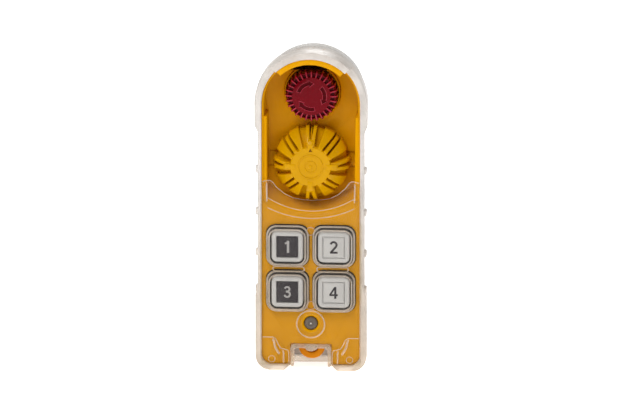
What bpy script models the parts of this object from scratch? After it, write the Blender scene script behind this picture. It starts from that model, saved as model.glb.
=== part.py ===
"""Hand-held pendant control station: a yellow and grey case in a clear soft jacket, with an emergency
stop, a rotary selector, four numbered keys and a status lamp. It stands on its feet, front towards -Y.

Sizes are in millimetres and become metres in one place, scaled(). Depths are measured back from the
front plane, the flat face of the yellow shell, so a negative depth stands proud of it."""

from math import cos, pi, radians, sin, sqrt

import bmesh
import bpy
from mathutils import Matrix, Vector

MM = 0.001
GAP = 0.3  # between neighbouring pieces
FRONT_PLANE_Y = -20.0  # world Y of depth 0, which centres the whole depth on the origin

# Case
HALF_WIDTH = 27.8
ARCH_Z = 155.6  # centre of the half-round top
FEET_Z = 3.8
SEAM_DEPTH = 18.0
REAR_START = 19.5
REAR_DEPTH = 45.0
REAR_TAPER = (  # depth, half width, centre of the half-round top: the back narrows and drops
    (19.5, 27.8, 155.6),
    (26.0, 27.6, 155.3),
    (32.0, 27.0, 154.4),
    (38.0, 26.2, 153.2),
    (43.0, 25.2, 152.0),
    (45.0, 23.6, 151.4),
)
WALL = 2.3
CORNER_R = 6.0
INNER_FLOOR_Z = 22.9

# Control recess in the upper half
RECESS_DEPTH = 15.0
RECESS_TOP_WALL = 1.5
RECESS_SIDE_WALL = 2.5
SIDE_BAR_TOP_Z = 148.0
SLOPE_R = 50.0  # plan radius of the slope that ends the recess
SLOPE_FRONT_Z = 93.7
SLOPE_BACK_Z = 97.6
BROW_PROUD = 6.5
BROW_HALF_ANGLE = 43.0
BROW_WALL = 3.2

# Notch between the feet
NOTCH_HALF_WIDTH = 12.4
NOTCH_FRONT_Z = 16.6
POCKET_Z = 20.5
EYE_Z = 12.7
EYE_OUTER_R = 7.6
EYE_INNER_R = 4.0

# Controls
ESTOP_Z = 159.3
ESTOP_R = 14.6
ESTOP_FRONT_DEPTH = 3.6
ESTOP_BACK_DEPTH = 13.0
ESTOP_WELL_R = 15.0
ESTOP_COLLAR_R = 15.7
KNOB_Z = 120.2
KNOB_R = 21.4
KNOB_FACE_R = 11.5
KNOB_FRONT_DEPTH = -4.0
KNOB_RIM_DEPTH = 7.0  # the straight rim ends here and the dome starts
KNOB_BACK_DEPTH = 13.4
KNOB_HOLLOW_R = 17.0
SHAFT_R = 3.0
BUSHING_R = 4.8
KEY_X = 13.1
KEY_ROWS_Z = (72.4, 46.3)
KEY_CAP = 17.8
KEY_CORNER_R = 3.0
KEY_FRONT_DEPTH = -3.5
KEY_OPENING = 24.0
LABEL = 12.0
LAMP_Z = 28.3
LAMP_R = 3.7
LAMP_FLANGE_R = 5.0
BOARD_DEPTH = 16.8

# Jacket
JACKET_SKIN = 1.2
JACKET_MID = 30.1
JACKET_LOW = 31.4
JACKET_TOP_R = 31.9
BUMPER_Z = (139.0, 143.0)
LOWER_STEP_Z = (44.0, 48.0)
JACKET_BACK_DEPTH = 47.0
JACKET_BAND_BACK = 9.0  # the thick band round the front ends here, and the thin skin goes on
JACKET_NOTCH_HALF_WIDTH = 10.8
JACKET_NOTCH_Z = 14.6
JACKET_OPENING_Z = 91.0
BACK_WINDOW_INSET = 7.0

# Battery bay in the back
BAY_HALF_WIDTH = 19.0
BAY_Z = (24.0, 76.6)
COVER_TOP_Z = 88.0
COVER_SCREW_Z = 83.0
BAY_DEPTH = 27.0
COVER_THICKNESS = 2.1
CELL_R = 7.2
CELL_LENGTH = 50.2
CONTACT_THICKNESS = 0.6
SCREW_R = 1.5
SCREW_HEAD_R = 2.8
SCREW_FRONT = 16.1
SCREW_HEAD_FRONT = 42.4


# ---------------------------------------------------------------- outlines in the (x, z) plane


def arc(centre_x, centre_z, radius, start_deg, end_deg, steps):
    """Points on an arc, angles measured from +X towards +Z."""
    points = []
    for i in range(steps + 1):
        angle = radians(start_deg + (end_deg - start_deg) * i / steps)
        points.append((centre_x + radius * cos(angle), centre_z + radius * sin(angle)))
    return points


def circle(radius, centre_z, steps, centre_x=0.0):
    return arc(centre_x, centre_z, radius, 0, 360 - 360 / steps, steps - 1)


def rounded_box(centre_x, centre_z, half_width, half_height, radius, steps=4):
    """A rectangle with round corners."""
    points = []
    for sx, sz, start in ((1, 1, 0), (-1, 1, 90), (-1, -1, 180), (1, -1, 270)):
        corner_x = centre_x + sx * (half_width - radius)
        corner_z = centre_z + sz * (half_height - radius)
        points += arc(corner_x, corner_z, radius, start, start + 90, steps)
    return points


def box(x_low, x_high, z_low, z_high):
    return [(x_low, z_low), (x_high, z_low), (x_high, z_high), (x_low, z_high)]


def arch(half_width, bottom_z, corner_r=CORNER_R, steps=28, top_z=ARCH_Z):
    """The case's outline: a flat foot with round corners, straight sides and a half-round top."""
    return (
        arc(-half_width + corner_r, bottom_z + corner_r, corner_r, 180, 270, 4)
        + arc(half_width - corner_r, bottom_z + corner_r, corner_r, 270, 360, 4)
        + arc(0, top_z, half_width, 0, 180, steps)
    )


def rear_sections(inset, bottom_z, corner_r=CORNER_R, front=REAR_START, back=REAR_DEPTH):
    """The tapering back as outlines, all moved in by inset, between two depths."""
    places = [front] + [d for d, _, _ in REAR_TAPER if front < d < back] + [back]
    return [(d, rear_outline(d, inset, bottom_z, corner_r)) for d in places]


def rear_outline(depth, inset, bottom_z, corner_r=CORNER_R):
    """The case's outline at one depth of the tapering back."""
    half_width, top_z = HALF_WIDTH, ARCH_Z
    for near, far in zip(REAR_TAPER, REAR_TAPER[1:]):
        if near[0] <= depth:
            share = min(1.0, (depth - near[0]) / (far[0] - near[0]))
            half_width = near[1] + share * (far[1] - near[1])
            top_z = near[2] + share * (far[2] - near[2])
    return arch(half_width - inset, bottom_z, corner_r, top_z=top_z)


def recess_outline(inset, lowest_z):
    """The recess seen from the front: half-round top, bars down the sides, curved lower end."""
    top_r = HALF_WIDTH - RECESS_TOP_WALL - inset
    side_x = HALF_WIDTH - RECESS_SIDE_WALL - inset
    spread = sqrt(SLOPE_R**2 - side_x**2)
    slope_centre_z = lowest_z + SLOPE_R
    points = [(side_x, slope_centre_z - spread), (side_x, SIDE_BAR_TOP_Z), (top_r, SIDE_BAR_TOP_Z)]
    points += arc(0, ARCH_Z, top_r, 0, 180, 28)
    points += [(-top_r, SIDE_BAR_TOP_Z), (-side_x, SIDE_BAR_TOP_Z), (-side_x, slope_centre_z - spread)]
    for i in range(1, 12):
        x = -side_x + 2 * side_x * i / 12
        points.append((x, slope_centre_z - sqrt(SLOPE_R**2 - x**2)))
    return points


def ring_sector(inner_r, outer_r, half_angle, steps=14):
    """A band of the half-round top, centred on its highest point."""
    outer = arc(0, ARCH_Z, outer_r, 90 - half_angle, 90 + half_angle, steps)
    inner = arc(0, ARCH_Z, inner_r, 90 + half_angle, 90 - half_angle, steps)
    return outer + inner


# ---------------------------------------------------------------- solids


def scaled(x, depth, z):
    return Vector((x * MM, (FRONT_PLANE_Y + depth) * MM, z * MM))


def material(name, colour, roughness, metallic=0.0, alpha=1.0):
    made = bpy.data.materials.get(name)
    if made is None:
        made = bpy.data.materials.new(name)
        made.use_nodes = True
        shader = made.node_tree.nodes["Principled BSDF"]
        shader.inputs["Base Color"].default_value = (*colour, 1.0)
        shader.inputs["Roughness"].default_value = roughness
        shader.inputs["Metallic"].default_value = metallic
        shader.inputs["Alpha"].default_value = alpha
    return made


def placed(name, bm, origin, finish):
    """An object from a mesh in world metres, with its origin moved to a stated point."""
    bmesh.ops.recalc_face_normals(bm, faces=bm.faces)
    bm.transform(Matrix.Translation(-origin))
    mesh = bpy.data.meshes.new(name)
    bm.to_mesh(mesh)
    bm.free()
    mesh.shade_smooth()
    mesh.set_sharp_from_angle(angle=radians(35))
    piece = bpy.data.objects.new(name, mesh)
    piece.location = origin
    if finish is not None:
        mesh.materials.append(finish)
    bpy.context.scene.collection.objects.link(piece)
    return piece


def loft(name, sections, finish, origin=(0, 0, 0)):
    """A closed solid through sections [(depth, outline), ...] with equal numbers of points."""
    bm = bmesh.new()
    rings = []
    for depth, outline in sections:
        rings.append([bm.verts.new(scaled(x, depth, z)) for x, z in outline])
    for near, far in zip(rings, rings[1:]):
        for i in range(len(near)):
            j = (i + 1) % len(near)
            bm.faces.new((near[i], near[j], far[j], far[i]))
    bm.faces.new(rings[0])
    bm.faces.new(list(reversed(rings[-1])))
    return placed(name, bm, scaled(*origin), finish)


def prism(name, outline, front, back, finish, origin=(0, 0, 0)):
    return loft(name, [(front, outline), (back, outline)], finish, origin)


def turned(name, profile, centre, steps, finish):
    """A solid turned about the front-to-back axis through centre = (x, z). profile is a list of
    (radius, depth); a radius of 0 closes the solid on the axis."""
    cx, cz = centre
    bm = bmesh.new()
    rings = []
    for radius, depth in profile:
        if radius == 0:
            rings.append([bm.verts.new(scaled(cx, depth, cz))])
        else:
            rings.append([bm.verts.new(scaled(x, depth, z)) for x, z in circle(radius, cz, steps, cx)])
    closed = profile[0][0] > 0
    pairs = list(zip(rings, rings[1:])) + ([(rings[-1], rings[0])] if closed else [])
    for near, far in pairs:
        if len(near) == len(far) == 1:
            continue
        for i in range(steps):
            j = (i + 1) % steps
            corners = [near[i % len(near)], near[j % len(near)], far[j % len(far)], far[i % len(far)]]
            bm.faces.new(list(dict.fromkeys(corners)))
    return placed(name, bm, scaled(cx, profile[0][1], cz), finish)


def cutter(piece):
    piece.hide_render = True
    piece.display_type = "WIRE"
    return piece


def combine(piece, other, operation):
    """A Boolean modifier with a hidden operand."""
    cutter(other)
    step = piece.modifiers.new(other.name, "BOOLEAN")
    step.operation = operation
    step.object = other


def cut(piece, name, outline, front, back):
    combine(piece, prism(name, outline, front, back, None), "DIFFERENCE")


def join(piece, name, outline, front, back):
    combine(piece, prism(name, outline, front, back, None), "UNION")


def tube(name, points, radius, finish):
    """A round wire or lead through points (x, depth, z), with filled ends."""
    curve = bpy.data.curves.new(name, "CURVE")
    curve.dimensions = "3D"
    curve.bevel_depth = radius * MM
    curve.bevel_resolution = 1
    curve.use_fill_caps = True
    line = curve.splines.new("POLY")
    line.points.add(len(points) - 1)
    for spot, point in zip(line.points, points):
        spot.co = (*scaled(*point), 1.0)
    curve.materials.append(finish)
    piece = bpy.data.objects.new(name, curve)
    bpy.context.scene.collection.objects.link(piece)
    return piece


# ---------------------------------------------------------------- materials


def yellow_plastic():
    return material("yellow_plastic", (0.72, 0.36, 0.01), 0.38)


def grey_plastic():
    return material("grey_plastic", (0.45, 0.43, 0.40), 0.5)


def clear_silicone():
    return material("clear_silicone", (0.86, 0.80, 0.74), 0.3, alpha=0.35)


def red_plastic():
    return material("red_plastic", (0.40, 0.01, 0.03), 0.3)


def key_plastic():
    return material("key_plastic", (0.66, 0.65, 0.61), 0.35)


def label_stock():
    return material("label_stock", (0.60, 0.59, 0.56), 0.55)


def black_rubber():
    return material("black_rubber", (0.02, 0.02, 0.022), 0.6)


def black_plastic():
    return material("black_plastic", (0.03, 0.03, 0.03), 0.4)


def steel():
    return material("steel", (0.60, 0.60, 0.58), 0.3, 1.0)


def brass():
    return material("brass", (0.75, 0.58, 0.25), 0.3, 1.0)


def board_green():
    return material("board_green", (0.02, 0.12, 0.05), 0.5)


def smoked_lens():
    return material("smoked_lens", (0.12, 0.11, 0.10), 0.15)


# ---------------------------------------------------------------- case


def front_housing():
    outline = arch(HALF_WIDTH, FEET_Z)
    edge = arch(HALF_WIDTH - 0.6, FEET_Z + 0.6)
    shell = loft("front_housing", [(0, edge), (0.6, outline), (SEAM_DEPTH, outline)], yellow_plastic())
    overshoot = 1.0
    slope_rise = (SLOPE_BACK_Z - SLOPE_FRONT_Z) / RECESS_DEPTH
    recess_front = recess_outline(0, SLOPE_FRONT_Z - slope_rise * overshoot)
    recess_back = recess_outline(0.3, SLOPE_BACK_Z)
    recess = loft("recess", [(-overshoot, recess_front), (RECESS_DEPTH, recess_back)], None)
    combine(shell, recess, "DIFFERENCE")
    brow = ring_sector(HALF_WIDTH - BROW_WALL, HALF_WIDTH, BROW_HALF_ANGLE)
    join(shell, "brow", brow, -BROW_PROUD, 3.0)
    cut(shell, "lower_hollow", box(-HALF_WIDTH + WALL, HALF_WIDTH - WALL, INNER_FLOOR_Z, 88), 2.4, 19)
    cut(shell, "notch", box(-NOTCH_HALF_WIDTH, NOTCH_HALF_WIDTH, 0, NOTCH_FRONT_Z), -2, 19)
    cut(shell, "eye_pocket", box(-NOTCH_HALF_WIDTH, NOTCH_HALF_WIDTH, 0, POCKET_Z), 2.6, 19)
    cut(shell, "eye_slot", box(-4.4, 4.4, POCKET_Z - 1, INNER_FLOOR_Z + 1), 6.6, 11.4)
    cut(shell, "estop_hole", circle(ESTOP_COLLAR_R + GAP, ESTOP_Z, 32), 10, 20)
    cut(shell, "selector_hole", circle(BUSHING_R + GAP, KNOB_Z, 16), 10, 20)
    cut(shell, "lamp_hole", circle(LAMP_R + GAP, LAMP_Z, 20), -1, 5)
    for column in (-1, 1):
        for row, z in enumerate(KEY_ROWS_Z):
            half = KEY_OPENING / 2
            opening = rounded_box(column * KEY_X, z, half, half, 5.5, 3)
            cut(shell, f"key_opening_{column}_{row}", opening, -1, 5)
    for name, x, z in screw_places():
        cut(shell, "pilot_" + name, circle(SCREW_R + GAP, z, 8, x), SCREW_FRONT - GAP, 19)
    return shell


def screw_places():
    return (
        ("lower_left", -20.0, 13.5),
        ("lower_right", 20.0, 13.5),
        ("upper_left", -19.2, 142.0),
        ("upper_right", 19.2, 142.0),
    )


def rear_housing():
    shell = loft("rear_housing", rear_sections(0, FEET_Z), grey_plastic())
    back_wall = REAR_DEPTH - WALL
    hollow = rear_sections(WALL, 26.0, 3.0, REAR_START - 1, back_wall)
    combine(shell, loft("upper_hollow", hollow, None), "DIFFERENCE")
    cut(shell, "lower_hollow_rear", box(-16.5, 16.5, 6.5, 30), REAR_START + WALL, back_wall)
    z_low, z_high = BAY_Z
    bay_box = box(-BAY_HALF_WIDTH - 1.6, BAY_HALF_WIDTH + 1.6, z_low - 1.6, COVER_TOP_Z + 1.6)
    join(shell, "bay_walls", bay_box, BAY_DEPTH - 1.6, REAR_DEPTH - 0.6)
    cut(shell, "bay", box(-BAY_HALF_WIDTH, BAY_HALF_WIDTH, z_low, z_high), BAY_DEPTH, REAR_DEPTH + 1)
    seat = box(-BAY_HALF_WIDTH, BAY_HALF_WIDTH, z_high - 1, COVER_TOP_Z)
    cut(shell, "cover_seat", seat, REAR_DEPTH - COVER_THICKNESS - GAP, REAR_DEPTH + 1)
    cut(shell, "cover_pilot", circle(1.4, COVER_SCREW_Z, 8), REAR_DEPTH - 8, REAR_DEPTH + 1)
    for name, x, z in screw_places():
        boss = circle(SCREW_HEAD_R + 1.2, z, 12, x)
        if z > BAY_Z[0]:
            join(shell, "boss_" + name, boss, REAR_START, back_wall + 0.5)
        shank_hole = circle(SCREW_R + 0.4, z, 8, x)
        head_hole = circle(SCREW_HEAD_R + 0.4, z, 16, x)
        cut(shell, "shank_hole_" + name, shank_hole, REAR_START - 1, REAR_DEPTH + 1)
        cut(shell, "head_hole_" + name, head_hole, SCREW_HEAD_FRONT - 0.4, REAR_DEPTH + 1)
    return shell


def housing_gasket():
    outer = arch(HALF_WIDTH - 0.5, POCKET_Z + 0.4)
    ring = prism("housing_gasket", outer, SEAM_DEPTH + GAP, REAR_START - GAP, black_rubber())
    inner = arch(HALF_WIDTH - 2.1, POCKET_Z + 2.0, CORNER_R - 1.6)
    cut(ring, "gasket_inside", inner, SEAM_DEPTH - 1, REAR_START + 1)
    return ring


def housing_screws():
    for name, x, z in screw_places():
        head_back = REAR_DEPTH - 0.4
        profile = [(0, SCREW_FRONT), (SCREW_R, SCREW_FRONT), (SCREW_R, SCREW_HEAD_FRONT)]
        profile += [(SCREW_HEAD_R, SCREW_HEAD_FRONT), (SCREW_HEAD_R, head_back), (0, head_back)]
        turned("housing_screw_" + name, profile, (x, z), 12, steel())


def protective_jacket():
    """One soft shell round the case, open over the recess, the notch and the middle of the back."""
    band = jacket_outline(0)
    front_sections = [(-JACKET_SKIN - GAP, jacket_outline(1.6)), (1.0, band), (JACKET_BAND_BACK, band)]
    jacket = loft("protective_jacket", front_sections, clear_silicone())
    skin, corner = JACKET_SKIN + GAP, CORNER_R + JACKET_SKIN + GAP
    skin_sections = rear_sections(-skin, 0, corner, JACKET_BAND_BACK - 2.0, 43.0)
    skin_sections.append((JACKET_BACK_DEPTH, rear_outline(REAR_DEPTH, -skin, 0, corner)))
    combine(jacket, loft("jacket_skin", skin_sections, None), "UNION")
    brow = ring_sector(HALF_WIDTH - 1.0, JACKET_TOP_R - 0.3, BROW_HALF_ANGLE + 3)
    join(jacket, "brow_band", brow, -BROW_PROUD - 0.5, 4)
    for column in (-1, 1):
        for row, z in enumerate(KEY_ROWS_Z):
            add_key_dome(jacket, f"{column}_{row}", column * KEY_X, z)
    front = (-GAP, rear_outline(0, -GAP, FEET_Z - GAP))
    case = [front] + rear_sections(-GAP, FEET_Z - GAP, back=REAR_DEPTH + GAP)
    combine(jacket, loft("case_space", case, None), "DIFFERENCE")
    window = rear_outline(REAR_DEPTH, BACK_WINDOW_INSET, FEET_Z + BACK_WINDOW_INSET)
    cut(jacket, "back_window", window, 40, JACKET_BACK_DEPTH + 1)
    cut(jacket, "recess_opening", jacket_opening(), -BROW_PROUD - 2, 5)
    notch = box(-JACKET_NOTCH_HALF_WIDTH, JACKET_NOTCH_HALF_WIDTH, -2, JACKET_NOTCH_Z)
    cut(jacket, "jacket_notch", notch, -3, SEAM_DEPTH)
    lamp = circle(5.4, LAMP_Z, 20)
    cut(jacket, "lamp_window", lamp, -3, 1)
    return jacket


def jacket_outline(inset):
    """The thick front band: wide at the feet and over the top, narrower at the grip."""
    corner = 8.5
    low, middle, top_r = JACKET_LOW - inset, JACKET_MID - inset, JACKET_TOP_R - inset
    right = [(middle, LOWER_STEP_Z[1]), (middle, BUMPER_Z[0]), (top_r, BUMPER_Z[1])]
    left = [(-x, z) for x, z in reversed(right)]
    return (
        arc(-low + corner, inset + corner, corner, 180, 270, 4)
        + arc(low - corner, inset + corner, corner, 270, 360, 4)
        + [(low, LOWER_STEP_Z[0])]
        + right
        + arc(0, ARCH_Z, top_r, 0, 180, 28)
        + left
        + [(-low, LOWER_STEP_Z[0])]
    )


def jacket_opening():
    """The edge of the jacket round the recess: along the case's outline, then a dip below the knob."""
    side_x = HALF_WIDTH + GAP
    shoulder_z = 110.0
    dip_centre_z = JACKET_OPENING_Z + SLOPE_R
    points = [(side_x, shoulder_z)] + arc(0, ARCH_Z, side_x, 0, 180, 28) + [(-side_x, shoulder_z)]
    dip_x = 25.0
    for i in range(0, 13):
        x = -dip_x + 2 * dip_x * i / 12
        points.append((x, dip_centre_z - sqrt(SLOPE_R**2 - x**2)))
    return points


def add_key_dome(jacket, label, x, z):
    base = KEY_OPENING / 2
    crown = KEY_CAP / 2 + 1.4
    dome = [
        (-0.8, rounded_box(x, z, base + 0.2, base + 0.2, 6.0, 3)),
        (KEY_FRONT_DEPTH - 1.4, rounded_box(x, z, crown, crown, 4.2, 3)),
    ]
    combine(jacket, loft("dome_" + label, dome, None), "UNION")
    space = [
        (0.1, rounded_box(x, z, base - 1.0, base - 1.0, 5.0, 3)),
        (-1.2, rounded_box(x, z, base - 1.0, base - 1.0, 5.0, 3)),
        (KEY_FRONT_DEPTH - 0.4, rounded_box(x, z, crown - 1.0, crown - 1.0, 3.4, 3)),
    ]
    combine(jacket, loft("dome_space_" + label, space, None), "DIFFERENCE")


def lanyard_eye():
    """A flat lug that hangs from the notch's ceiling by a stem and a T-shaped foot."""
    front, back = 7.0, 11.0
    stem_half, foot_half, foot_top = 4.0, 7.0, 25.6
    eye = prism("lanyard_eye", circle(EYE_OUTER_R, EYE_Z, 28), front, back, yellow_plastic())
    join(eye, "eye_stem", box(-stem_half, stem_half, EYE_Z + 5, foot_top - 0.2), front, back)
    join(eye, "eye_foot", box(-foot_half, foot_half, INNER_FLOOR_Z + GAP, foot_top), front, back)
    cut(eye, "eye_hole", circle(EYE_INNER_R, EYE_Z, 20), front - 1, back + 1)
    return eye


# ---------------------------------------------------------------- emergency stop


def estop_head():
    """A mushroom head with ribs round its rim."""
    ribs = 28
    sections = []
    for depth, crest, valley in (
        (ESTOP_BACK_DEPTH, ESTOP_R, ESTOP_R - 0.9),
        (ESTOP_FRONT_DEPTH + 2.0, ESTOP_R - 0.4, ESTOP_R - 1.5),
        (ESTOP_FRONT_DEPTH + 0.4, ESTOP_R - 1.2, ESTOP_R - 2.6),
        (ESTOP_FRONT_DEPTH, 10.9, 10.8),
    ):
        outline = []
        for i in range(ribs * 2):
            angle = pi * i / ribs
            radius = crest if i % 2 == 0 else valley
            outline.append((radius * cos(angle), ESTOP_Z + radius * sin(angle)))
        sections.append((depth, outline))
    head = loft("estop_head", sections, red_plastic(), (0, ESTOP_BACK_DEPTH, ESTOP_Z))
    cut(head, "stem_socket", circle(6.4, ESTOP_Z, 20), ESTOP_FRONT_DEPTH + 3.0, ESTOP_BACK_DEPTH + 1)
    return head


def estop_collar():
    """The well that the head sinks into, held against the back of the recess floor by its flange."""
    floor_front, floor_back = 18.9, 20.6
    profile = [
        (6.5, floor_front),
        (ESTOP_WELL_R, floor_front),
        (ESTOP_WELL_R, RECESS_DEPTH - 2.0),
        (ESTOP_COLLAR_R, RECESS_DEPTH - 2.0),
        (ESTOP_COLLAR_R, SEAM_DEPTH + GAP),
        (18.2, SEAM_DEPTH + GAP),
        (18.2, floor_back),
        (8.0, floor_back),
        (8.0, 25.6),
        (6.5, 25.6),
    ]
    return turned("estop_collar", profile, (0, ESTOP_Z), 32, yellow_plastic())


def estop_stem():
    front = ESTOP_FRONT_DEPTH + 3.3
    profile = [(0, front), (6.0, front), (6.0, 28.0), (4.6, 28.0), (4.6, 30.0), (0, 30.0)]
    return turned("estop_stem", profile, (0, ESTOP_Z), 20, black_plastic())


def estop_lock_ring():
    profile = [(8.3, 20.9), (11.5, 20.9), (11.5, 24.4), (8.3, 24.4)]
    return turned("estop_lock_ring", profile, (0, ESTOP_Z), 20, black_plastic())


def estop_contact_block():
    outline = box(-12.5, 12.5, ESTOP_Z - 12.5, ESTOP_Z + 8.5)
    block = prism("estop_contact_block", outline, 25.9, 41.0, black_plastic())
    cut(block, "spring_bore", circle(6.4, ESTOP_Z, 20), 25, 39.0)
    return block


def estop_spring():
    """A plain coil between the stem's end and the bottom of the bore."""
    turns, coil_r, wire_r, front, back = 3.5, 4.2, 0.45, 30.9, 38.1
    per_turn = 10
    count = int(turns * per_turn) + 1
    points = []
    for i in range(count):
        angle = 2 * pi * i / per_turn
        depth = front + (back - front) * i / (count - 1)
        points.append((coil_r * cos(angle), depth, ESTOP_Z + coil_r * sin(angle)))
    return tube("estop_spring", points, wire_r, steel())


# ---------------------------------------------------------------- rotary selector


def selector_knob():
    """A deep knob with blocks round its rim, sloping in to a flat face, hollow at the back."""
    lobes = 16
    steps_per_lobe = 4
    sections = []
    for depth, crest, valley in (
        (KNOB_BACK_DEPTH, KNOB_R, KNOB_R - 1.8),
        (KNOB_RIM_DEPTH, KNOB_R - 0.2, KNOB_R - 2.4),
        (KNOB_RIM_DEPTH - 5.4, KNOB_R - 3.8, KNOB_R - 6.0),
        (KNOB_FRONT_DEPTH, KNOB_FACE_R, KNOB_FACE_R - 0.8),
    ):
        outline = []
        for i in range(lobes * steps_per_lobe):
            angle = 2 * pi * (i + 0.5) / (lobes * steps_per_lobe)
            radius = crest if i % steps_per_lobe < 2 else valley
            outline.append((radius * cos(angle), KNOB_Z + radius * sin(angle)))
        sections.append((depth, outline))
    knob = loft("selector_knob", sections, yellow_plastic(), (0, KNOB_BACK_DEPTH, KNOB_Z))
    hub_r, hub_back = 5.6, 10.9
    top, open_back = 2.5, KNOB_BACK_DEPTH + 1.6
    hollow = [
        (hub_r, top),
        (KNOB_HOLLOW_R - 6.0, top),
        (KNOB_HOLLOW_R, KNOB_RIM_DEPTH + 1.0),
        (KNOB_HOLLOW_R, open_back),
        (0, open_back),
        (0, hub_back),
        (hub_r, hub_back),
    ]
    combine(knob, turned("knob_hollow", hollow, (0, KNOB_Z), 24, None), "DIFFERENCE")
    cut(knob, "shaft_socket", circle(SHAFT_R + GAP, KNOB_Z, 16), 0.9, open_back)
    return knob


def knob_shaft():
    front, back = 1.2, 31.0
    profile = [(0, front), (SHAFT_R, front), (SHAFT_R, back), (0, back)]
    return turned("knob_shaft", profile, (0, KNOB_Z), 16, steel())


def rotary_switch():
    half, front, back = 13.0, 20.8, 36.0
    bushing_front = 11.4
    outline = rounded_box(0, KNOB_Z, half, half, 2.0, 2)
    switch = prism("rotary_switch", outline, front, back, black_plastic())
    join(switch, "bushing", circle(BUSHING_R, KNOB_Z, 16), bushing_front, front + 1.2)
    cut(switch, "shaft_bore", circle(SHAFT_R + GAP, KNOB_Z, 16), bushing_front - 0.4, back - 4.0)
    return switch


def rotary_switch_nut():
    corner_r, front = 7.4, 11.9
    nut = prism("rotary_switch_nut", circle(corner_r, KNOB_Z, 6), front, RECESS_DEPTH - GAP, steel())
    cut(nut, "nut_thread", circle(BUSHING_R + GAP, KNOB_Z, 16), front - 1, RECESS_DEPTH + 1)
    return nut


def selector_seal():
    inner_r, outer_r = BUSHING_R + GAP, 8.0
    front, back = SEAM_DEPTH + GAP, 20.5
    profile = [(inner_r, front), (outer_r, front), (outer_r, back), (inner_r, back)]
    return turned("selector_seal", profile, (0, KNOB_Z), 20, black_rubber())


# ---------------------------------------------------------------- keys


def key_places():
    """Numbered left to right, top row first."""
    number = 1
    for z in KEY_ROWS_Z:
        for x in (-KEY_X, KEY_X):
            yield number, x, z
            number += 1


def keypad_seal():
    """One rubber mat behind the face, with a raised collar round each key."""
    mat = prism("keypad_seal", box(-25.0, 25.0, 34.0, 84.8), 2.7, 3.7, black_rubber())
    for number, x, z in key_places():
        half = KEY_OPENING / 2 - GAP
        join(mat, f"collar_{number}", rounded_box(x, z, half, half, 5.2, 3), 0.2, 3.2)
    for number, x, z in key_places():
        half = KEY_CAP / 2 + 0.4
        cut(mat, f"collar_space_{number}", rounded_box(x, z, half, half, 3.4, 3), -1, 5)
    return mat


def key(number, x, z):
    half = KEY_CAP / 2
    cap_sections = [
        (KEY_FRONT_DEPTH, rounded_box(x, z, half - 0.7, half - 0.7, KEY_CORNER_R - 0.6)),
        (KEY_FRONT_DEPTH + 0.7, rounded_box(x, z, half, half, KEY_CORNER_R)),
        (4.4, rounded_box(x, z, half, half, KEY_CORNER_R)),
    ]
    cap = loft(f"key_cap_{number}", cap_sections, key_plastic(), (x, 4.4, z))
    join(cap, f"key_flange_{number}", box(x - 10.0, x + 10.0, z - 10.0, z + 10.0), 4.1, 5.3)
    join(cap, f"key_stem_{number}", box(x - 2.5, x + 2.5, z - 2.5, z + 2.5), 5.0, 9.0)
    pocket = LABEL / 2 + GAP
    pocket_box = box(x - pocket, x + pocket, z - pocket, z + pocket)
    cut(cap, f"label_pocket_{number}", pocket_box, KEY_FRONT_DEPTH - 1, KEY_FRONT_DEPTH + 0.8)
    half_label = LABEL / 2
    label_box = box(x - half_label, x + half_label, z - half_label, z + half_label)
    prism(f"key_label_{number}", label_box, KEY_FRONT_DEPTH + 0.1, KEY_FRONT_DEPTH + 0.5, label_stock())
    plunger = [(0, 9.3), (1.7, 9.3), (1.7, 12.9), (0, 12.9)]
    turned(f"key_plunger_{number}", plunger, (x, z), 12, black_plastic())
    body = box(x - 4.0, x + 4.0, z - 4.0, z + 4.0)
    switch = prism(f"key_switch_{number}", body, 12.2, BOARD_DEPTH - GAP, black_plastic())
    cut(switch, f"plunger_hole_{number}", circle(2.1, z, 12, x), 11, 15.8)


# ---------------------------------------------------------------- lamp and electronics


def led_lens():
    lens = [(0, -0.2), (3.1, -0.2), (LAMP_R, 0.5), (LAMP_R, 2.7)]
    profile = lens + [(LAMP_FLANGE_R, 2.7), (LAMP_FLANGE_R, 3.7), (0, 3.7)]
    return turned("led_lens", profile, (0, LAMP_Z), 20, smoked_lens())


def light_pipe():
    profile = [(0, 4.0), (2.0, 4.0), (2.0, 14.7), (0, 14.7)]
    return turned("light_pipe", profile, (0, LAMP_Z), 12, smoked_lens())


def electronics():
    prism("main_board", box(-24.6, 24.6, 24.0, 86.0), BOARD_DEPTH, BOARD_DEPTH + 1.6, board_green())
    prism("status_led", box(-1.6, 1.6, LAMP_Z - 1.6, LAMP_Z + 1.6), 15.0, BOARD_DEPTH - GAP, key_plastic())
    prism("radio_module", box(-9, 9, 50.0, 76.0), BOARD_DEPTH + 1.9, BOARD_DEPTH + 5.0, steel())
    tube("antenna", [(21.0, 22.8, 84.0), (21.0, 22.8, 112.0)], 1.8, black_plastic())
    down_from_switch = [(0.0, 23.0, 104.0), (-3.0, 22.0, 98.0), (-4.0, 20.4, 88.0), (-4.0, 19.8, 79.0)]
    tube("selector_loom", down_from_switch, 1.0, red_plastic())
    down_the_side = [(-14.6, 30.0, 154.0), (-14.0, 28.0, 142.0), (-15.5, 24.0, 112.0), (-15.0, 19.8, 82.0)]
    tube("estop_loom", down_the_side, 1.0, black_plastic())


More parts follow.
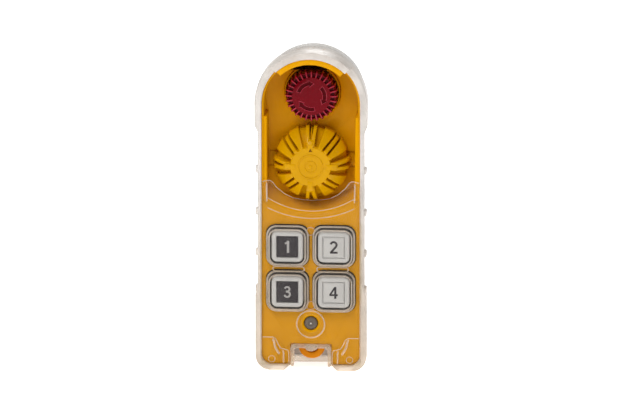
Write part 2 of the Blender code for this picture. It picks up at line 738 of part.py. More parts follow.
def battery():
    cell_depth = BAY_DEPTH + CELL_R + 0.5
    middle_z = (BAY_Z[0] + BAY_Z[1]) / 2
    for name, x in (("left", -7.7), ("right", 7.7)):
        cell(name, x, cell_depth, middle_z)
    for name, z in (("bottom", BAY_Z[0] + GAP), ("top", BAY_Z[1] - GAP - CONTACT_THICKNESS)):
        contact_plate(name, z)
    cover = box(-BAY_HALF_WIDTH + GAP, BAY_HALF_WIDTH - GAP, BAY_Z[0] + GAP, COVER_TOP_Z - GAP)
    lid = prism("battery_cover", cover, REAR_DEPTH - COVER_THICKNESS, REAR_DEPTH, grey_plastic())
    cut(lid, "cover_hole", circle(1.6, COVER_SCREW_Z, 10), 40, 48)
    cut(lid, "cover_sink", circle(2.8, COVER_SCREW_Z, 14), REAR_DEPTH - 1.2, 48)
    head_front, head_back = REAR_DEPTH - 0.9, REAR_DEPTH - 0.1
    screw = [(0, 38.6), (1.1, 38.6), (1.1, head_front), (2.4, head_front), (2.4, head_back), (0, head_back)]
    turned("cover_screw", screw, (0, COVER_SCREW_Z), 12, steel())


def cell(name, x, depth, middle_z):
    """A round cell standing up, with its small positive end on top."""
    bm = bmesh.new()
    half = CELL_LENGTH / 2
    rings = []
    for radius, z in ((CELL_R, -half), (CELL_R, half - 1.0), (2.6, half - 1.0), (2.6, half)):
        ring = [(radius * cos(a), radius * sin(a)) for a in (2 * pi * i / 16 for i in range(16))]
        rings.append([bm.verts.new(scaled(x + u, depth + v, middle_z + z)) for u, v in ring])
    for low, high in zip(rings, rings[1:]):
        for i in range(16):
            j = (i + 1) % 16
            bm.faces.new((low[i], low[j], high[j], high[i]))
    bm.faces.new(list(reversed(rings[0])))
    bm.faces.new(rings[-1])
    placed("battery_cell_" + name, bm, scaled(x, depth, middle_z), steel())


def contact_plate(name, z):
    half = BAY_HALF_WIDTH - 2 * GAP
    outline = box(-half, half, z, z + CONTACT_THICKNESS)
    prism("battery_contact_" + name, outline, BAY_DEPTH + 0.6, 37.0, brass())


def clear_scene():
    for old in list(bpy.data.objects):
        bpy.data.objects.remove(old)


def main():
    clear_scene()
    front_housing()
    rear_housing()
    housing_gasket()
    housing_screws()
    protective_jacket()
    lanyard_eye()
    estop_head()
    estop_collar()
    estop_stem()
    estop_spring()
    estop_lock_ring()
    estop_contact_block()
    selector_knob()
    knob_shaft()
    rotary_switch()
    rotary_switch_nut()
    selector_seal()
    keypad_seal()
    for number, x, z in key_places():
        key(number, x, z)
    led_lens()
    light_pipe()
    electronics()
    battery()


main()
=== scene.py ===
"""Looks of a hand-held pendant control station in a clear soft jacket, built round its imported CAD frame.

Shapes are written in millimetres as (x, depth, z): depth 0 is the flat front of the yellow case and
grows towards the back, and z is the height above the surface that the feet stand on."""

from math import asin, cos, degrees, hypot, pi, radians, sin, sqrt

import bmesh
import bpy
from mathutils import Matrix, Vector


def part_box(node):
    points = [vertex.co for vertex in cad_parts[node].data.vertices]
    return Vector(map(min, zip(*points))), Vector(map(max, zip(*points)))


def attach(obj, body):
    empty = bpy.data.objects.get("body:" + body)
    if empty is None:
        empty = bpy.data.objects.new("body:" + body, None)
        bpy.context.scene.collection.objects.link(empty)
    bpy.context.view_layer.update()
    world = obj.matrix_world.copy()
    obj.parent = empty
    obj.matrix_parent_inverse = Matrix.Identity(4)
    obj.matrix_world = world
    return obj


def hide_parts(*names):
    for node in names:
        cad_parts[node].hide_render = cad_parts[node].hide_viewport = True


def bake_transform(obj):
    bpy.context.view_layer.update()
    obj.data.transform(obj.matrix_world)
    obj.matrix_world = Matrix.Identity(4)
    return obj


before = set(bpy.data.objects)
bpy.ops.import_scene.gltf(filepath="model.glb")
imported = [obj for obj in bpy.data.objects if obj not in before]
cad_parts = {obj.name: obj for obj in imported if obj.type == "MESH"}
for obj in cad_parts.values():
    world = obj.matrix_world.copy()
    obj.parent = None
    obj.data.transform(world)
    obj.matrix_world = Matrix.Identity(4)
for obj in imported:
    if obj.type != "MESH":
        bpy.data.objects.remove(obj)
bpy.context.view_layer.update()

MM = 0.001
GAP = 0.3
FRONT_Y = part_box("rear_housing")[1].y - 0.045  # world y of depth 0

# ---------------------------------------------------------------- sizes of the case

HALF_WIDTH = 27.8
ARCH_Z = 155.6
FEET_Z = 3.8
CASE_CORNER_R = 6.0
SEAM_DEPTH = 18.0
REAR_START = 19.5
REAR_DEPTH = 45.0
REAR_TAPER = (
    (19.5, 27.8, 155.6),
    (26.0, 27.6, 155.3),
    (32.0, 27.0, 154.4),
    (38.0, 26.2, 153.2),
    (43.0, 25.2, 152.0),
    (45.0, 23.6, 151.4),
)
RECESS_DEPTH = 15.0
RIM_WALL = 1.1
BAR_TOP_Z = 148.0
BAR_INNER_X = 24.9
BROW_PROUD = 6.5
BROW_HALF_ANGLE = 43.0
BROW_WALL = 3.2
NOTCH_HALF_WIDTH = 11.6
NOTCH_Z = 15.7
POCKET_Z = 20.5
INNER_FLOOR_Z = 22.9
ESTOP_Z = 159.3
KNOB_Z = 120.2
KNOB_BACK = 13.4
KEY_X = 13.1
KEY_ROWS_Z = (73.2, 46.8)
KEY_CAP = 17.8
KEY_FRONT = -3.5
KEY_OPENING = 24.6
LAMP_Z = 27.7
LAMP_R = 3.7
MARKS_Z = (82.0, 38.6)  # small round marks above and below the keys
MARK_R = 2.3
BAR_Z = 60.0  # the bars between the upper and lower keys
BAY_Z = (24.0, 76.6)
BAY_HALF_WIDTH = 19.0
COVER_TOP_Z = 88.0
COVER_SCREW_Z = 83.0
COVER_THICKNESS = 2.1

# ---------------------------------------------------------------- sizes of the jacket

JACKET_FRONT = -1.5
JACKET_LOW = 31.4
JACKET_MID = 30.1
JACKET_TOP_R = 31.9
BAND_BACK = 9.0
NUBS_Z = (116.8, 92.3, 68.4, 47.3)  # grip nubs down both sides
JACKET_BACK = 47.0
SKIN = 1.5
DOME_HALF = 11.5  # half the width of a key dome's foot
LIP = (  # x, depth and z of the jacket's front lip, from the middle outwards
    (0.0, 9.0, 97.2),
    (5.0, 8.7, 97.7),
    (10.4, 7.4, 98.9),
    (15.1, 4.7, 102.0),
    (19.4, 1.9, 106.4),
    (21.6, 0.3, 109.9),
    (23.2, -0.7, 111.2),
    (25.2, -0.9, 111.0),
    (27.4, -0.9, 110.4),
)
LOW_ARC = (89.6, 53.5)  # middle height and radius of the crease where the sheet leaves the flat front
HIGH_ARC = (93.3, 42.6)  # and of the second crease above it
ARC_DEPTH = 0.6  # depth of the second crease


def at(x, depth, z):
    """A point given in millimetres as (x, depth, z), in the frame's metres."""
    return Vector((x * MM, FRONT_Y + depth * MM, z * MM))


# ---------------------------------------------------------------- outlines


def arc(centre_x, centre_z, radius, start_deg, end_deg, steps):
    points = []
    for i in range(steps + 1):
        angle = radians(start_deg + (end_deg - start_deg) * i / steps)
        points.append((centre_x + radius * cos(angle), centre_z + radius * sin(angle)))
    return points


def circle(radius, centre_z, steps=48, centre_x=0.0):
    return arc(centre_x, centre_z, radius, 0, 360, steps)[:-1]


def rounded_box(centre_x, centre_z, half_width, half_height, radius, steps=8):
    x, z = half_width - radius, half_height - radius
    return (
        arc(centre_x - x, centre_z - z, radius, 180, 270, steps)
        + arc(centre_x + x, centre_z - z, radius, 270, 360, steps)
        + arc(centre_x + x, centre_z + z, radius, 0, 90, steps)
        + arc(centre_x - x, centre_z + z, radius, 90, 180, steps)
    )


def box(x_low, x_high, z_low, z_high):
    return [(x_low, z_low), (x_high, z_low), (x_high, z_high), (x_low, z_high)]


def arch(half_width, bottom_z, corner_r=CASE_CORNER_R, top_z=ARCH_Z, steps=72):
    """The case's outline: a flat foot with round corners, straight sides and a half-round top."""
    return (
        arc(-half_width + corner_r, bottom_z + corner_r, corner_r, 180, 270, 10)
        + arc(half_width - corner_r, bottom_z + corner_r, corner_r, 270, 360, 10)
        + arc(0, top_z, half_width, 0, 180, steps)
    )


def rear_outline(depth, inset, bottom_z, corner_r=CASE_CORNER_R):
    half_width, top_z = HALF_WIDTH, ARCH_Z
    for near, far in zip(REAR_TAPER, REAR_TAPER[1:]):
        if near[0] <= depth:
            share = min(1.0, (depth - near[0]) / (far[0] - near[0]))
            half_width = near[1] + share * (far[1] - near[1])
            top_z = near[2] + share * (far[2] - near[2])
    return arch(half_width - inset, bottom_z, corner_r, top_z)


def ring_sector(inner_r, outer_r, half_angle, steps=40):
    outer = arc(0, ARCH_Z, outer_r, 90 - half_angle, 90 + half_angle, steps)
    inner = arc(0, ARCH_Z, inner_r, 90 + half_angle, 90 - half_angle, steps)
    return outer + inner


def recess_outline(inset, lowest_z, plan_r):
    """The recess in the front: straight sides, a round top, and a curved slope at its lower end."""
    side_x = HALF_WIDTH - RIM_WALL - inset
    centre_z = lowest_z + plan_r
    points = arc(0, ARCH_Z, side_x, 0, 180, 72)
    steps = 40
    for i in range(steps + 1):
        x = -side_x + 2 * side_x * i / steps
        points.append((x, centre_z - sqrt(plan_r**2 - x**2)))
    return points


# ---------------------------------------------------------------- meshes


def piece(name, vertices, faces, finish, sharp_deg=35.0):
    """A mesh object with its normals facing out and its flat breaks kept sharp."""
    mesh = bpy.data.meshes.new(name)
    mesh.from_pydata([tuple(v) for v in vertices], [], faces)
    bm = bmesh.new()
    bm.from_mesh(mesh)
    bmesh.ops.recalc_face_normals(bm, faces=bm.faces)
    bm.to_mesh(mesh)
    bm.free()
    obj = bpy.data.objects.new(name, mesh)
    bpy.context.scene.collection.objects.link(obj)
    if finish is not None:
        mesh.materials.append(finish)
    shade(obj, sharp_deg)
    return obj


def shade(obj, sharp_deg):
    obj.data.shade_smooth()
    obj.data.set_sharp_from_angle(angle=radians(sharp_deg))


def loft(name, sections, finish, sharp_deg=35.0):
    """A closed solid through sections [(depth, outline), ...] with equal numbers of points."""
    vertices, faces = [], []
    count = len(sections[0][1])
    for depth, outline in sections:
        vertices += [at(x, depth, z) for x, z in outline]
    for ring in range(len(sections) - 1):
        for i in range(count):
            j = (i + 1) % count
            a, b = ring * count, (ring + 1) * count
            faces.append((a + i, a + j, b + j, b + i))
    faces.append(tuple(range(count)))
    faces.append(tuple(reversed(range((len(sections) - 1) * count, len(sections) * count))))
    return piece(name, vertices, faces, finish, sharp_deg)


def prism(name, outline, front, back, finish=None):
    return loft(name, [(front, outline), (back, outline)], finish)


def revolve(name, profile, centre, finish, steps=64, sharp_deg=35.0):
    """A closed solid from [(radius, depth), ...] turned round an axis along the depth."""
    vertices, rings, faces = [], [], []
    for radius, depth in profile:
        if radius == 0:
            rings.append([len(vertices)] * steps)
            vertices.append(at(centre[0], depth, centre[1]))
            continue
        start = len(vertices)
        rings.append(list(range(start, start + steps)))
        for i in range(steps):
            angle = 2 * pi * i / steps
            vertices.append(at(centre[0] + radius * cos(angle), depth, centre[1] + radius * sin(angle)))
    closed = profile[0][0] != 0
    pairs = list(zip(rings, rings[1:])) + ([(rings[-1], rings[0])] if closed else [])
    for near, far in pairs:
        for i in range(steps):
            j = (i + 1) % steps
            corners = []
            for vertex in (near[i], near[j], far[j], far[i]):
                if vertex not in corners:
                    corners.append(vertex)
            if len(corners) > 2:
                faces.append(tuple(corners))
    return piece(name, vertices, faces, finish, sharp_deg)


def tube(name, points, radius, finish, sides=10):
    """A round bead along points given as (x, depth, z), with closed ends."""
    centres = [at(*p) for p in points]
    vertices, faces = [], []
    for i, centre in enumerate(centres):
        ahead = centres[min(i + 1, len(centres) - 1)] - centres[max(i - 1, 0)]
        across = ahead.cross(Vector((0, 1, 0))).normalized()
        up = across.cross(ahead).normalized()
        size = radius * MM * (0.35 if i in (0, len(centres) - 1) else 1.0)
        for side in range(sides):
            angle = 2 * pi * side / sides
            vertices.append(centre + size * (cos(angle) * across + sin(angle) * up))
    for i in range(len(centres) - 1):
        for side in range(sides):
            other = (side + 1) % sides
            a, b = i * sides, (i + 1) * sides
            faces.append((a + side, a + other, b + other, b + side))
    faces.append(tuple(range(sides)))
    faces.append(tuple(reversed(range(len(vertices) - sides, len(vertices)))))
    return piece(name, vertices, faces, finish, 60)


def settle(obj, sharp_deg=35.0):
    """Makes the result of obj's modifiers its own mesh."""
    depsgraph = bpy.context.evaluated_depsgraph_get()
    mesh = bpy.data.meshes.new_from_object(obj.evaluated_get(depsgraph))
    obj.modifiers.clear()
    old, obj.data = obj.data, mesh
    bpy.data.meshes.remove(old)
    shade(obj, sharp_deg)


def combine(obj, other, operation):
    modifier = obj.modifiers.new("combine", "BOOLEAN")
    modifier.operation = operation
    modifier.solver = "EXACT"
    modifier.material_mode = "TRANSFER"
    modifier.object = other
    settle(obj)
    bpy.data.objects.remove(other)


def cut(obj, outline, front, back):
    combine(obj, prism("cutter", outline, front, back), "DIFFERENCE")


def join(obj, outline, front, back):
    combine(obj, prism("addition", outline, front, back), "UNION")


def soften(obj, width, segments=2, angle=38.0, sharp_deg=45.0):
    """Rounds the edges that are sharper than angle."""
    bm = bmesh.new()
    bm.from_mesh(obj.data)
    bmesh.ops.remove_doubles(bm, verts=bm.verts, dist=0.01 * MM)
    bmesh.ops.dissolve_limit(bm, angle_limit=radians(0.6), verts=bm.verts, edges=bm.edges)
    bm.to_mesh(obj.data)
    bm.free()
    modifier = obj.modifiers.new("soften", "BEVEL")
    modifier.width = width * MM
    modifier.segments = segments
    modifier.limit_method = "ANGLE"
    modifier.angle_limit = radians(angle)
    modifier.use_clamp_overlap = False
    modifier.miter_outer = "MITER_ARC"
    settle(obj, sharp_deg)


def merge(obj, others):
    """Adds other closed shapes to obj's mesh as separate shells."""
    bm = bmesh.new()
    bm.from_mesh(obj.data)
    for other in others:
        bm.from_mesh(other.data)
        bpy.data.objects.remove(other)
    bm.to_mesh(obj.data)
    bm.free()


# ---------------------------------------------------------------- finishes


def node(tree, kind, **sockets):
    made = tree.nodes.new(kind)
    for name, value in sockets.items():
        made.inputs[name.replace("_", " ")].default_value = value
    return made


def noise(tree, scale, detail=3.0, stretch=(1.0, 1.0, 1.0)):
    """Noise in the object's own coordinates, in waves per metre."""
    where = tree.nodes.new("ShaderNodeTexCoord")
    mapping = tree.nodes.new("ShaderNodeMapping")
    mapping.inputs["Scale"].default_value = stretch
    texture = node(tree, "ShaderNodeTexNoise", Scale=scale, Detail=detail)
    tree.links.new(where.outputs["Object"], mapping.inputs["Vector"])
    tree.links.new(mapping.outputs["Vector"], texture.inputs["Vector"])
    return texture.outputs["Fac"]


def ranged(tree, value, low, high, start=0.3, end=0.7):
    """Value taken from start..end to low..high."""
    made = tree.nodes.new("ShaderNodeMapRange")
    for name, number in (("From Min", start), ("From Max", end), ("To Min", low), ("To Max", high)):
        made.inputs[name].default_value = number
    tree.links.new(value, made.inputs["Value"])
    return made.outputs["Result"]


def mixed(tree, factor, first, second):
    made = tree.nodes.new("ShaderNodeMix")
    made.data_type = "RGBA"
    made.inputs[6].default_value = (*first, 1)
    made.inputs[7].default_value = (*second, 1)
    tree.links.new(factor, made.inputs[0])
    return made.outputs[2]


def bumped(tree, shader, height, distance, strength=1.0):
    bump = node(tree, "ShaderNodeBump", Strength=strength, Distance=distance * MM)
    tree.links.new(height, bump.inputs["Height"])
    tree.links.new(bump.outputs["Normal"], shader.inputs["Normal"])


def fresh(name):
    material = bpy.data.materials.new(name)
    material.use_nodes = True
    tree = material.node_tree
    tree.nodes.clear()
    shader = tree.nodes.new("ShaderNodeBsdfPrincipled")
    output = tree.nodes.new("ShaderNodeOutputMaterial")
    tree.links.new(shader.outputs["BSDF"], output.inputs["Surface"])
    return material, tree, shader


def plastic(name, light, dark, roughness=0.38, grain=0.012, shine=0.5):
    """Moulded plastic: cloudy colour, uneven gloss and a fine spark-eroded grain."""
    material, tree, shader = fresh(name)
    cloud = ranged(tree, noise(tree, 60.0, 4.0), 0.0, 1.0)
    tree.links.new(mixed(tree, cloud, dark, light), shader.inputs["Base Color"])
    gloss = ranged(tree, noise(tree, 220.0, 5.0, (1.0, 1.0, 0.35)), roughness - 0.07, roughness + 0.09)
    tree.links.new(gloss, shader.inputs["Roughness"])
    bumped(tree, shader, noise(tree, 9000.0, 2.0), grain)
    shader.inputs["Specular IOR Level"].default_value = shine
    return material


def brushed_metal(name, colour, roughness=0.3):
    material, tree, shader = fresh(name)
    shader.inputs["Metallic"].default_value = 1.0
    cloud = ranged(tree, noise(tree, 900.0, 4.0, (1.0, 1.0, 0.06)), 0.0, 1.0)
    dark = tuple(0.75 * c for c in colour)
    tree.links.new(mixed(tree, cloud, dark, colour), shader.inputs["Base Color"])
    gloss = ranged(tree, noise(tree, 400.0, 4.0), roughness - 0.08, roughness + 0.1)
    tree.links.new(gloss, shader.inputs["Roughness"])
    bumped(tree, shader, noise(tree, 3000.0, 3.0, (1.0, 1.0, 0.1)), 0.01)
    return material


def clear_soft(name, haze, edge, tint, roughness=0.22, steepness=1.5, through=(0.985, 0.965, 0.93)):
    """Clear soft rubber: milky seen edge on, cloudy, darker and warmer towards the feet and slightly
    rippled.
    """
    material, tree, shader = fresh(name)
    where = tree.nodes.new("ShaderNodeTexCoord")
    split = tree.nodes.new("ShaderNodeSeparateXYZ")
    tree.links.new(where.outputs["Object"], split.inputs[0])
    # The colour darkens and warms over the lowest 110 mm, most at the feet.
    height = ranged(tree, split.outputs["Z"], 0.0, 1.0, 0.0, 0.11)
    lower_tint = tuple(share * c for share, c in zip((0.90, 0.79, 0.66), tint))
    cloud = ranged(tree, noise(tree, 45.0, 4.0), 0.86, 1.0)
    toned = tree.nodes.new("ShaderNodeHueSaturation")
    tree.links.new(mixed(tree, height, lower_tint, tint), toned.inputs["Color"])
    tree.links.new(cloud, toned.inputs["Value"])
    tree.links.new(toned.outputs[0], shader.inputs["Base Color"])
    gloss = ranged(tree, noise(tree, 150.0, 3.0), roughness - 0.06, roughness + 0.08)
    tree.links.new(gloss, shader.inputs["Roughness"])
    bumped(tree, shader, noise(tree, 260.0, 2.0), 0.05)
    facing = node(tree, "ShaderNodeLayerWeight", Blend=0.5)
    steep = tree.nodes.new("ShaderNodeMath")
    steep.operation = "POWER"
    steep.inputs[1].default_value = steepness
    tree.links.new(facing.outputs["Facing"], steep.inputs[0])
    body = ranged(tree, steep.outputs[0], haze, edge, 0.0, 1.0)
    patches = ranged(tree, noise(tree, 70.0, 5.0), 0.8, 1.2)
    film = tree.nodes.new("ShaderNodeMath")
    film.operation = "MULTIPLY"
    film.use_clamp = True
    tree.links.new(body, film.inputs[0])
    tree.links.new(patches, film.inputs[1])
    see_through = node(tree, "ShaderNodeBsdfTransparent", Color=(*through, 1))
    mix = tree.nodes.new("ShaderNodeMixShader")
    tree.links.new(film.outputs[0], mix.inputs[0])
    tree.links.new(see_through.outputs[0], mix.inputs[1])
    tree.links.new(shader.outputs[0], mix.inputs[2])
    output = next(n for n in tree.nodes if n.type == "OUTPUT_MATERIAL")
    tree.links.new(mix.outputs[0], output.inputs["Surface"])
    return material


FINE, CARD, GLASSY = 0.004, 0.005, 0.002  # grain depths in millimetres

CASE_YELLOW = plastic("case_yellow", (0.73, 0.335, 0.0), (0.68, 0.303, 0.0), 0.3, shine=0.06)
KNOB_YELLOW = plastic("knob_yellow", (0.63, 0.315, 0.0), (0.58, 0.29, 0.0), 0.22, grain=FINE, shine=0.1)
# A dark amber copy of the knob yellow: painted shade in the sunk pointer.
KNOB_PAINTED_SHADE = plastic("knob_painted_shade", (0.26, 0.09, 0.0), (0.22, 0.075, 0.0), 0.4, shine=0.1)
# A darker, more orange copy of the case yellow: painted shade on the lanyard eye deep in the notch.
EYE_YELLOW_PAINTED_SHADE = plastic("eye_yellow_painted_shade", (0.72, 0.25, 0.0), (0.66, 0.21, 0.0), 0.4, shine=0.1)
CASE_GREY = plastic("case_grey", (0.52, 0.51, 0.49), (0.44, 0.43, 0.41), 0.45, grain=0.02)
STOP_RED = plastic("stop_red", (0.17, 0.0008, 0.006), (0.14, 0.0006, 0.005), 0.2, grain=FINE, shine=0.08)
# A lighter, glossier copy of the stop red: painted highlight on the rib crests and the raised arrow
# outlines.
STOP_RIB_PAINTED_HIGHLIGHT = plastic("stop_rib_painted_highlight", (0.38, 0.004, 0.026), (0.33, 0.003, 0.02), 0.22, grain=FINE, shine=0.35)
# A darker copy of the stop red: painted shade in the sunk arrow pockets.
ARROW_PAINTED_SHADE = plastic("arrow_painted_shade", (0.10, 0.001, 0.004), (0.08, 0.001, 0.003), 0.4, shine=0.05)
KEY_GREY = plastic("key_grey", (0.54, 0.535, 0.52), (0.48, 0.475, 0.46), 0.34, grain=0.01, shine=0.3)
SOFT_BLACK = plastic("soft_black", (0.018, 0.018, 0.022), (0.010, 0.010, 0.013), 0.5)
HARD_BLACK = plastic("hard_black", (0.03, 0.03, 0.032), (0.018, 0.018, 0.02), 0.4)
LABEL_DARK = plastic("label_dark", (0.040, 0.036, 0.042), (0.032, 0.029, 0.034), 0.5, grain=CARD, shine=0.2)
LABEL_LIGHT = plastic("label_light", (0.54, 0.535, 0.52), (0.49, 0.485, 0.47), 0.5, grain=CARD, shine=0.3)
FIGURE_PALE = plastic("figure_pale", (0.42, 0.41, 0.40), (0.37, 0.36, 0.35), 0.5, grain=CARD, shine=0.2)
LABEL_LINE = plastic("label_line", (0.30, 0.295, 0.29), (0.25, 0.245, 0.24), 0.5)
LENS_SMOKE = plastic("lens_smoke", (0.15, 0.125, 0.10), (0.11, 0.09, 0.075), 0.3, grain=GLASSY, shine=0.2)
LENS_TIP = plastic("lens_tip", (0.7, 0.68, 0.64), (0.6, 0.58, 0.55), 0.1, grain=GLASSY)
BOARD = plastic("board_green", (0.02, 0.16, 0.06), (0.01, 0.11, 0.04), 0.4)
LOOM_RED = plastic("loom_red", (0.5, 0.02, 0.02), (0.4, 0.015, 0.015), 0.45)
STEEL = brushed_metal("steel", (0.62, 0.62, 0.63))
BRASS = brushed_metal("brass", (0.72, 0.52, 0.22))
JACKET_THICK = clear_soft("jacket_thick", 0.74, 0.96, (0.83, 0.775, 0.72), 0.3)
JACKET_SKIN = clear_soft("jacket_skin", 0.42, 0.9, (0.78, 0.755, 0.72), 0.3)
JACKET_FILM = clear_soft("jacket_film", 0.025, 0.45, (0.80, 0.72, 0.52), 0.2, 3.5, (0.965, 0.955, 0.90))
JACKET_DOME = clear_soft("jacket_dome", 0.012, 0.7, (0.85, 0.80, 0.74), 0.12, 3.5, (0.99, 0.985, 0.98))
JACKET_BEAD = clear_soft("jacket_bead", 0.3, 0.85, (0.93, 0.85, 0.77), 0.14, 1.2)


# ---------------------------------------------------------------- case


def screw_places():
    return (
        ("lower_left", -20.0, 13.5),
        ("lower_right", 20.0, 13.5),
        ("upper_left", -19.2, 142.0),
        ("upper_right", 19.2, 142.0),
    )


def front_housing():
    outline = arch(HALF_WIDTH, FEET_Z)
    shell = prism("case_front", outline, 0, SEAM_DEPTH, CASE_YELLOW)
    sections = [
        (-1.0, recess_outline(0, 87.4, 54.0)),
        (0.0, recess_outline(0, 89.6, 52.0)),
        (1.6, recess_outline(0.05, 93.3, 45.0)),
        (RECESS_DEPTH, recess_outline(0.3, 97.9, 47.0)),
    ]
    combine(shell, loft("recess", sections, None), "DIFFERENCE")
    for side in (-1, 1):
        x_low, x_high = sorted((side * BAR_INNER_X, side * (HALF_WIDTH - 1.0)))
        join(shell, box(x_low, x_high, 92.5, BAR_TOP_Z), 0.7, RECESS_DEPTH + 1.0)
    cut(shell, box(-BAR_INNER_X, BAR_INNER_X, 115.4, 124.5), 10, RECESS_DEPTH + 0.9)
    join(shell, ring_sector(HALF_WIDTH - BROW_WALL, HALF_WIDTH, BROW_HALF_ANGLE), -BROW_PROUD, 3.0)
    inner_x = HALF_WIDTH - 2.3
    cut(shell, box(-inner_x, inner_x, INNER_FLOOR_Z, 87.0), 2.4, 19)
    cut(shell, box(-NOTCH_HALF_WIDTH, NOTCH_HALF_WIDTH, 0, NOTCH_Z), -2, 19)
    cut(shell, box(-NOTCH_HALF_WIDTH, NOTCH_HALF_WIDTH, 0, POCKET_Z), 2.6, 19)
    cut(shell, circle(16.0, ESTOP_Z, 72), 10, 20)
    cut(shell, circle(5.1, KNOB_Z, 32), 10, 20)
    for column in (-1, 1):
        for z in KEY_ROWS_Z:
            half = KEY_OPENING / 2
            cut(shell, rounded_box(column * KEY_X, z, half, half, 5.6), -1, 5)
    dish = [(0, 1.5), (3.95, 1.5), (3.95, 0.85), (5.6, -0.05), (5.8, -0.6), (0, -0.6)]
    combine(shell, revolve("dish", dish, (0, LAMP_Z), None, 48), "DIFFERENCE")
    cut(shell, circle(LAMP_R + GAP, LAMP_Z, 40), -1, 5)
    mark = [(0, 0.4), (MARK_R, 0.4), (MARK_R, -0.12), (1.9, -0.18), (0, -0.18)]
    for z in MARKS_Z:
        combine(shell, revolve("mark", mark, (0, z), None, 32), "UNION")
    soften(shell, 0.32)
    return shell


def rear_housing():
    depths = [19.5, *range(22, 42, 2), 41.5, 43.0, 44.2, 45.0]
    shell = loft("case_rear", [(d, rear_outline(d, 0, FEET_Z)) for d in depths], CASE_GREY)
    back_wall = REAR_DEPTH - 2.3
    hollow = [(d, rear_outline(d, 2.3, 26.0, 3.0)) for d in (18.5, 26.0, 32.0, 38.0, back_wall)]
    combine(shell, loft("hollow", hollow, None), "DIFFERENCE")
    cut(shell, box(-16.5, 16.5, 6.5, 30), REAR_START + 2.3, back_wall)
    z_low, z_high = BAY_Z
    wide = BAY_HALF_WIDTH + 1.6
    join(shell, box(-wide, wide, z_low - 1.6, COVER_TOP_Z + 1.6), 25.4, REAR_DEPTH - 0.6)
    cut(shell, box(-BAY_HALF_WIDTH, BAY_HALF_WIDTH, z_low, z_high), 27.0, REAR_DEPTH + 1)
    seat = box(-BAY_HALF_WIDTH, BAY_HALF_WIDTH, z_high - 1, COVER_TOP_Z)
    cut(shell, seat, REAR_DEPTH - COVER_THICKNESS - GAP, REAR_DEPTH + 1)
    cut(shell, circle(1.4, COVER_SCREW_Z, 16), REAR_DEPTH - 8, REAR_DEPTH + 1)
    for _, x, z in screw_places():
        if z > BAY_Z[0]:
            join(shell, circle(4.0, z, 24, x), REAR_START, back_wall + 0.5)
        cut(shell, circle(1.9, z, 16, x), REAR_START - 1, REAR_DEPTH + 1)
        cut(shell, circle(3.2, z, 32, x), 42.0, REAR_DEPTH + 1)
    frame_outline = rounded_box(0, 118.0, 12.5, 19.0, 2.5)
    cut(shell, frame_outline, REAR_DEPTH - 0.5, REAR_DEPTH + 1)
    soften(shell, 0.3)
    return shell


def battery_cover():
    low, high = BAY_Z[0] + GAP, COVER_TOP_Z - GAP
    half = BAY_HALF_WIDTH - GAP
    outline = rounded_box(0, (low + high) / 2, half, (high - low) / 2, 0.8, 3)
    lid = prism("battery_lid", outline, REAR_DEPTH - COVER_THICKNESS, REAR_DEPTH, CASE_GREY)
    for i in range(7):
        z = 31.0 + 2.4 * i
        cut(lid, rounded_box(0, z, 11.0, 0.6, 0.55, 6), REAR_DEPTH - 0.6, REAR_DEPTH + 1)
    cut(lid, circle(1.6, COVER_SCREW_Z, 24), 40, 48)
    cut(lid, circle(2.8, COVER_SCREW_Z, 32), REAR_DEPTH - 1.2, 48)
    soften(lid, 0.22, sharp_deg=20)
    return lid


def screw(name, x, z, profile, slot_back, slot_size):
    body = revolve(name, profile, (x, z), STEEL, 32)
    arm, thickness = slot_size
    for wide, high in ((arm, thickness), (thickness, arm)):
        cut(body, box(x - wide, x + wide, z - high, z + high), slot_back - 0.9, slot_back + 1)
    soften(body, 0.1)
    return body


def lanyard_eye():
    front, back = 7.0, 11.0
    centre_z, outer_r, inner_r = 12.7, 7.6, 4.0
    # The eye's darker orange is painted shade for its place deep in the notch.
    eye = prism("eye_lug", circle(outer_r, centre_z, 64), front, back, EYE_YELLOW_PAINTED_SHADE)
    join(eye, box(-4.0, 4.0, centre_z + 5, 25.4), front, back)
    join(eye, box(-7.0, 7.0, INNER_FLOOR_Z + GAP, 25.6), front, back)
    cut(eye, circle(inner_r, centre_z, 48), front - 1, back + 1)
    soften(eye, 0.7, 4)
    return eye


# ---------------------------------------------------------------- emergency stop

STOP_RIBS = 28
RIB_SAMPLES = 16
STOP_FACE_R = 10.9
STOP_SLOPE = (  # radius and depth on a rib, then between two ribs
    ((10.9, 3.6), (10.9, 3.7)),
    ((11.2, 3.6), (11.1, 5.5)),
    ((12.9, 3.8), (12.8, 5.7)),
    ((13.3, 3.85), (13.0, 4.7)),
    ((14.1, 4.1), (13.45, 4.5)),
    ((14.65, 4.9), (13.8, 5.1)),
    ((14.8, 6.5), (13.9, 6.8)),
    ((14.8, 13.0), (14.0, 13.0)),
)
STOP_ARROWS = ((162, 81), (42, -36), (-77, -155))  # where each starts and ends, in degrees


def turned_grid(name, rings, centre_z, finish, sharp_deg):
    """A closed solid from rings of (radius, depth), with one pair for each angle."""
    steps = len(rings[0])
    vertices, faces = [], []
    for ring in rings:
        for i, (radius, depth) in enumerate(ring):
            angle = 2 * pi * i / steps
            vertices.append(at(radius * cos(angle), depth, centre_z + radius * sin(angle)))
    for row in range(len(rings) - 1):
        for i in range(steps):
            j = (i + 1) % steps
            a, b = row * steps, (row + 1) * steps
            faces.append((a + i, a + j, b + j, b + i))
    faces.append(tuple(range(steps)))
    faces.append(tuple(reversed(range((len(rings) - 1) * steps, len(rings) * steps))))
    return piece(name, vertices, faces, finish, sharp_deg)


def rib_height(share):
    """1 on a rib and 0 between two, for a share of the way from one rib to the next."""
    from_rib = min(share, 1 - share)
    t = min(1.0, max(0.0, (from_rib - 0.12) / 0.07))
    return 1 - t * t * (3 - 2 * t)


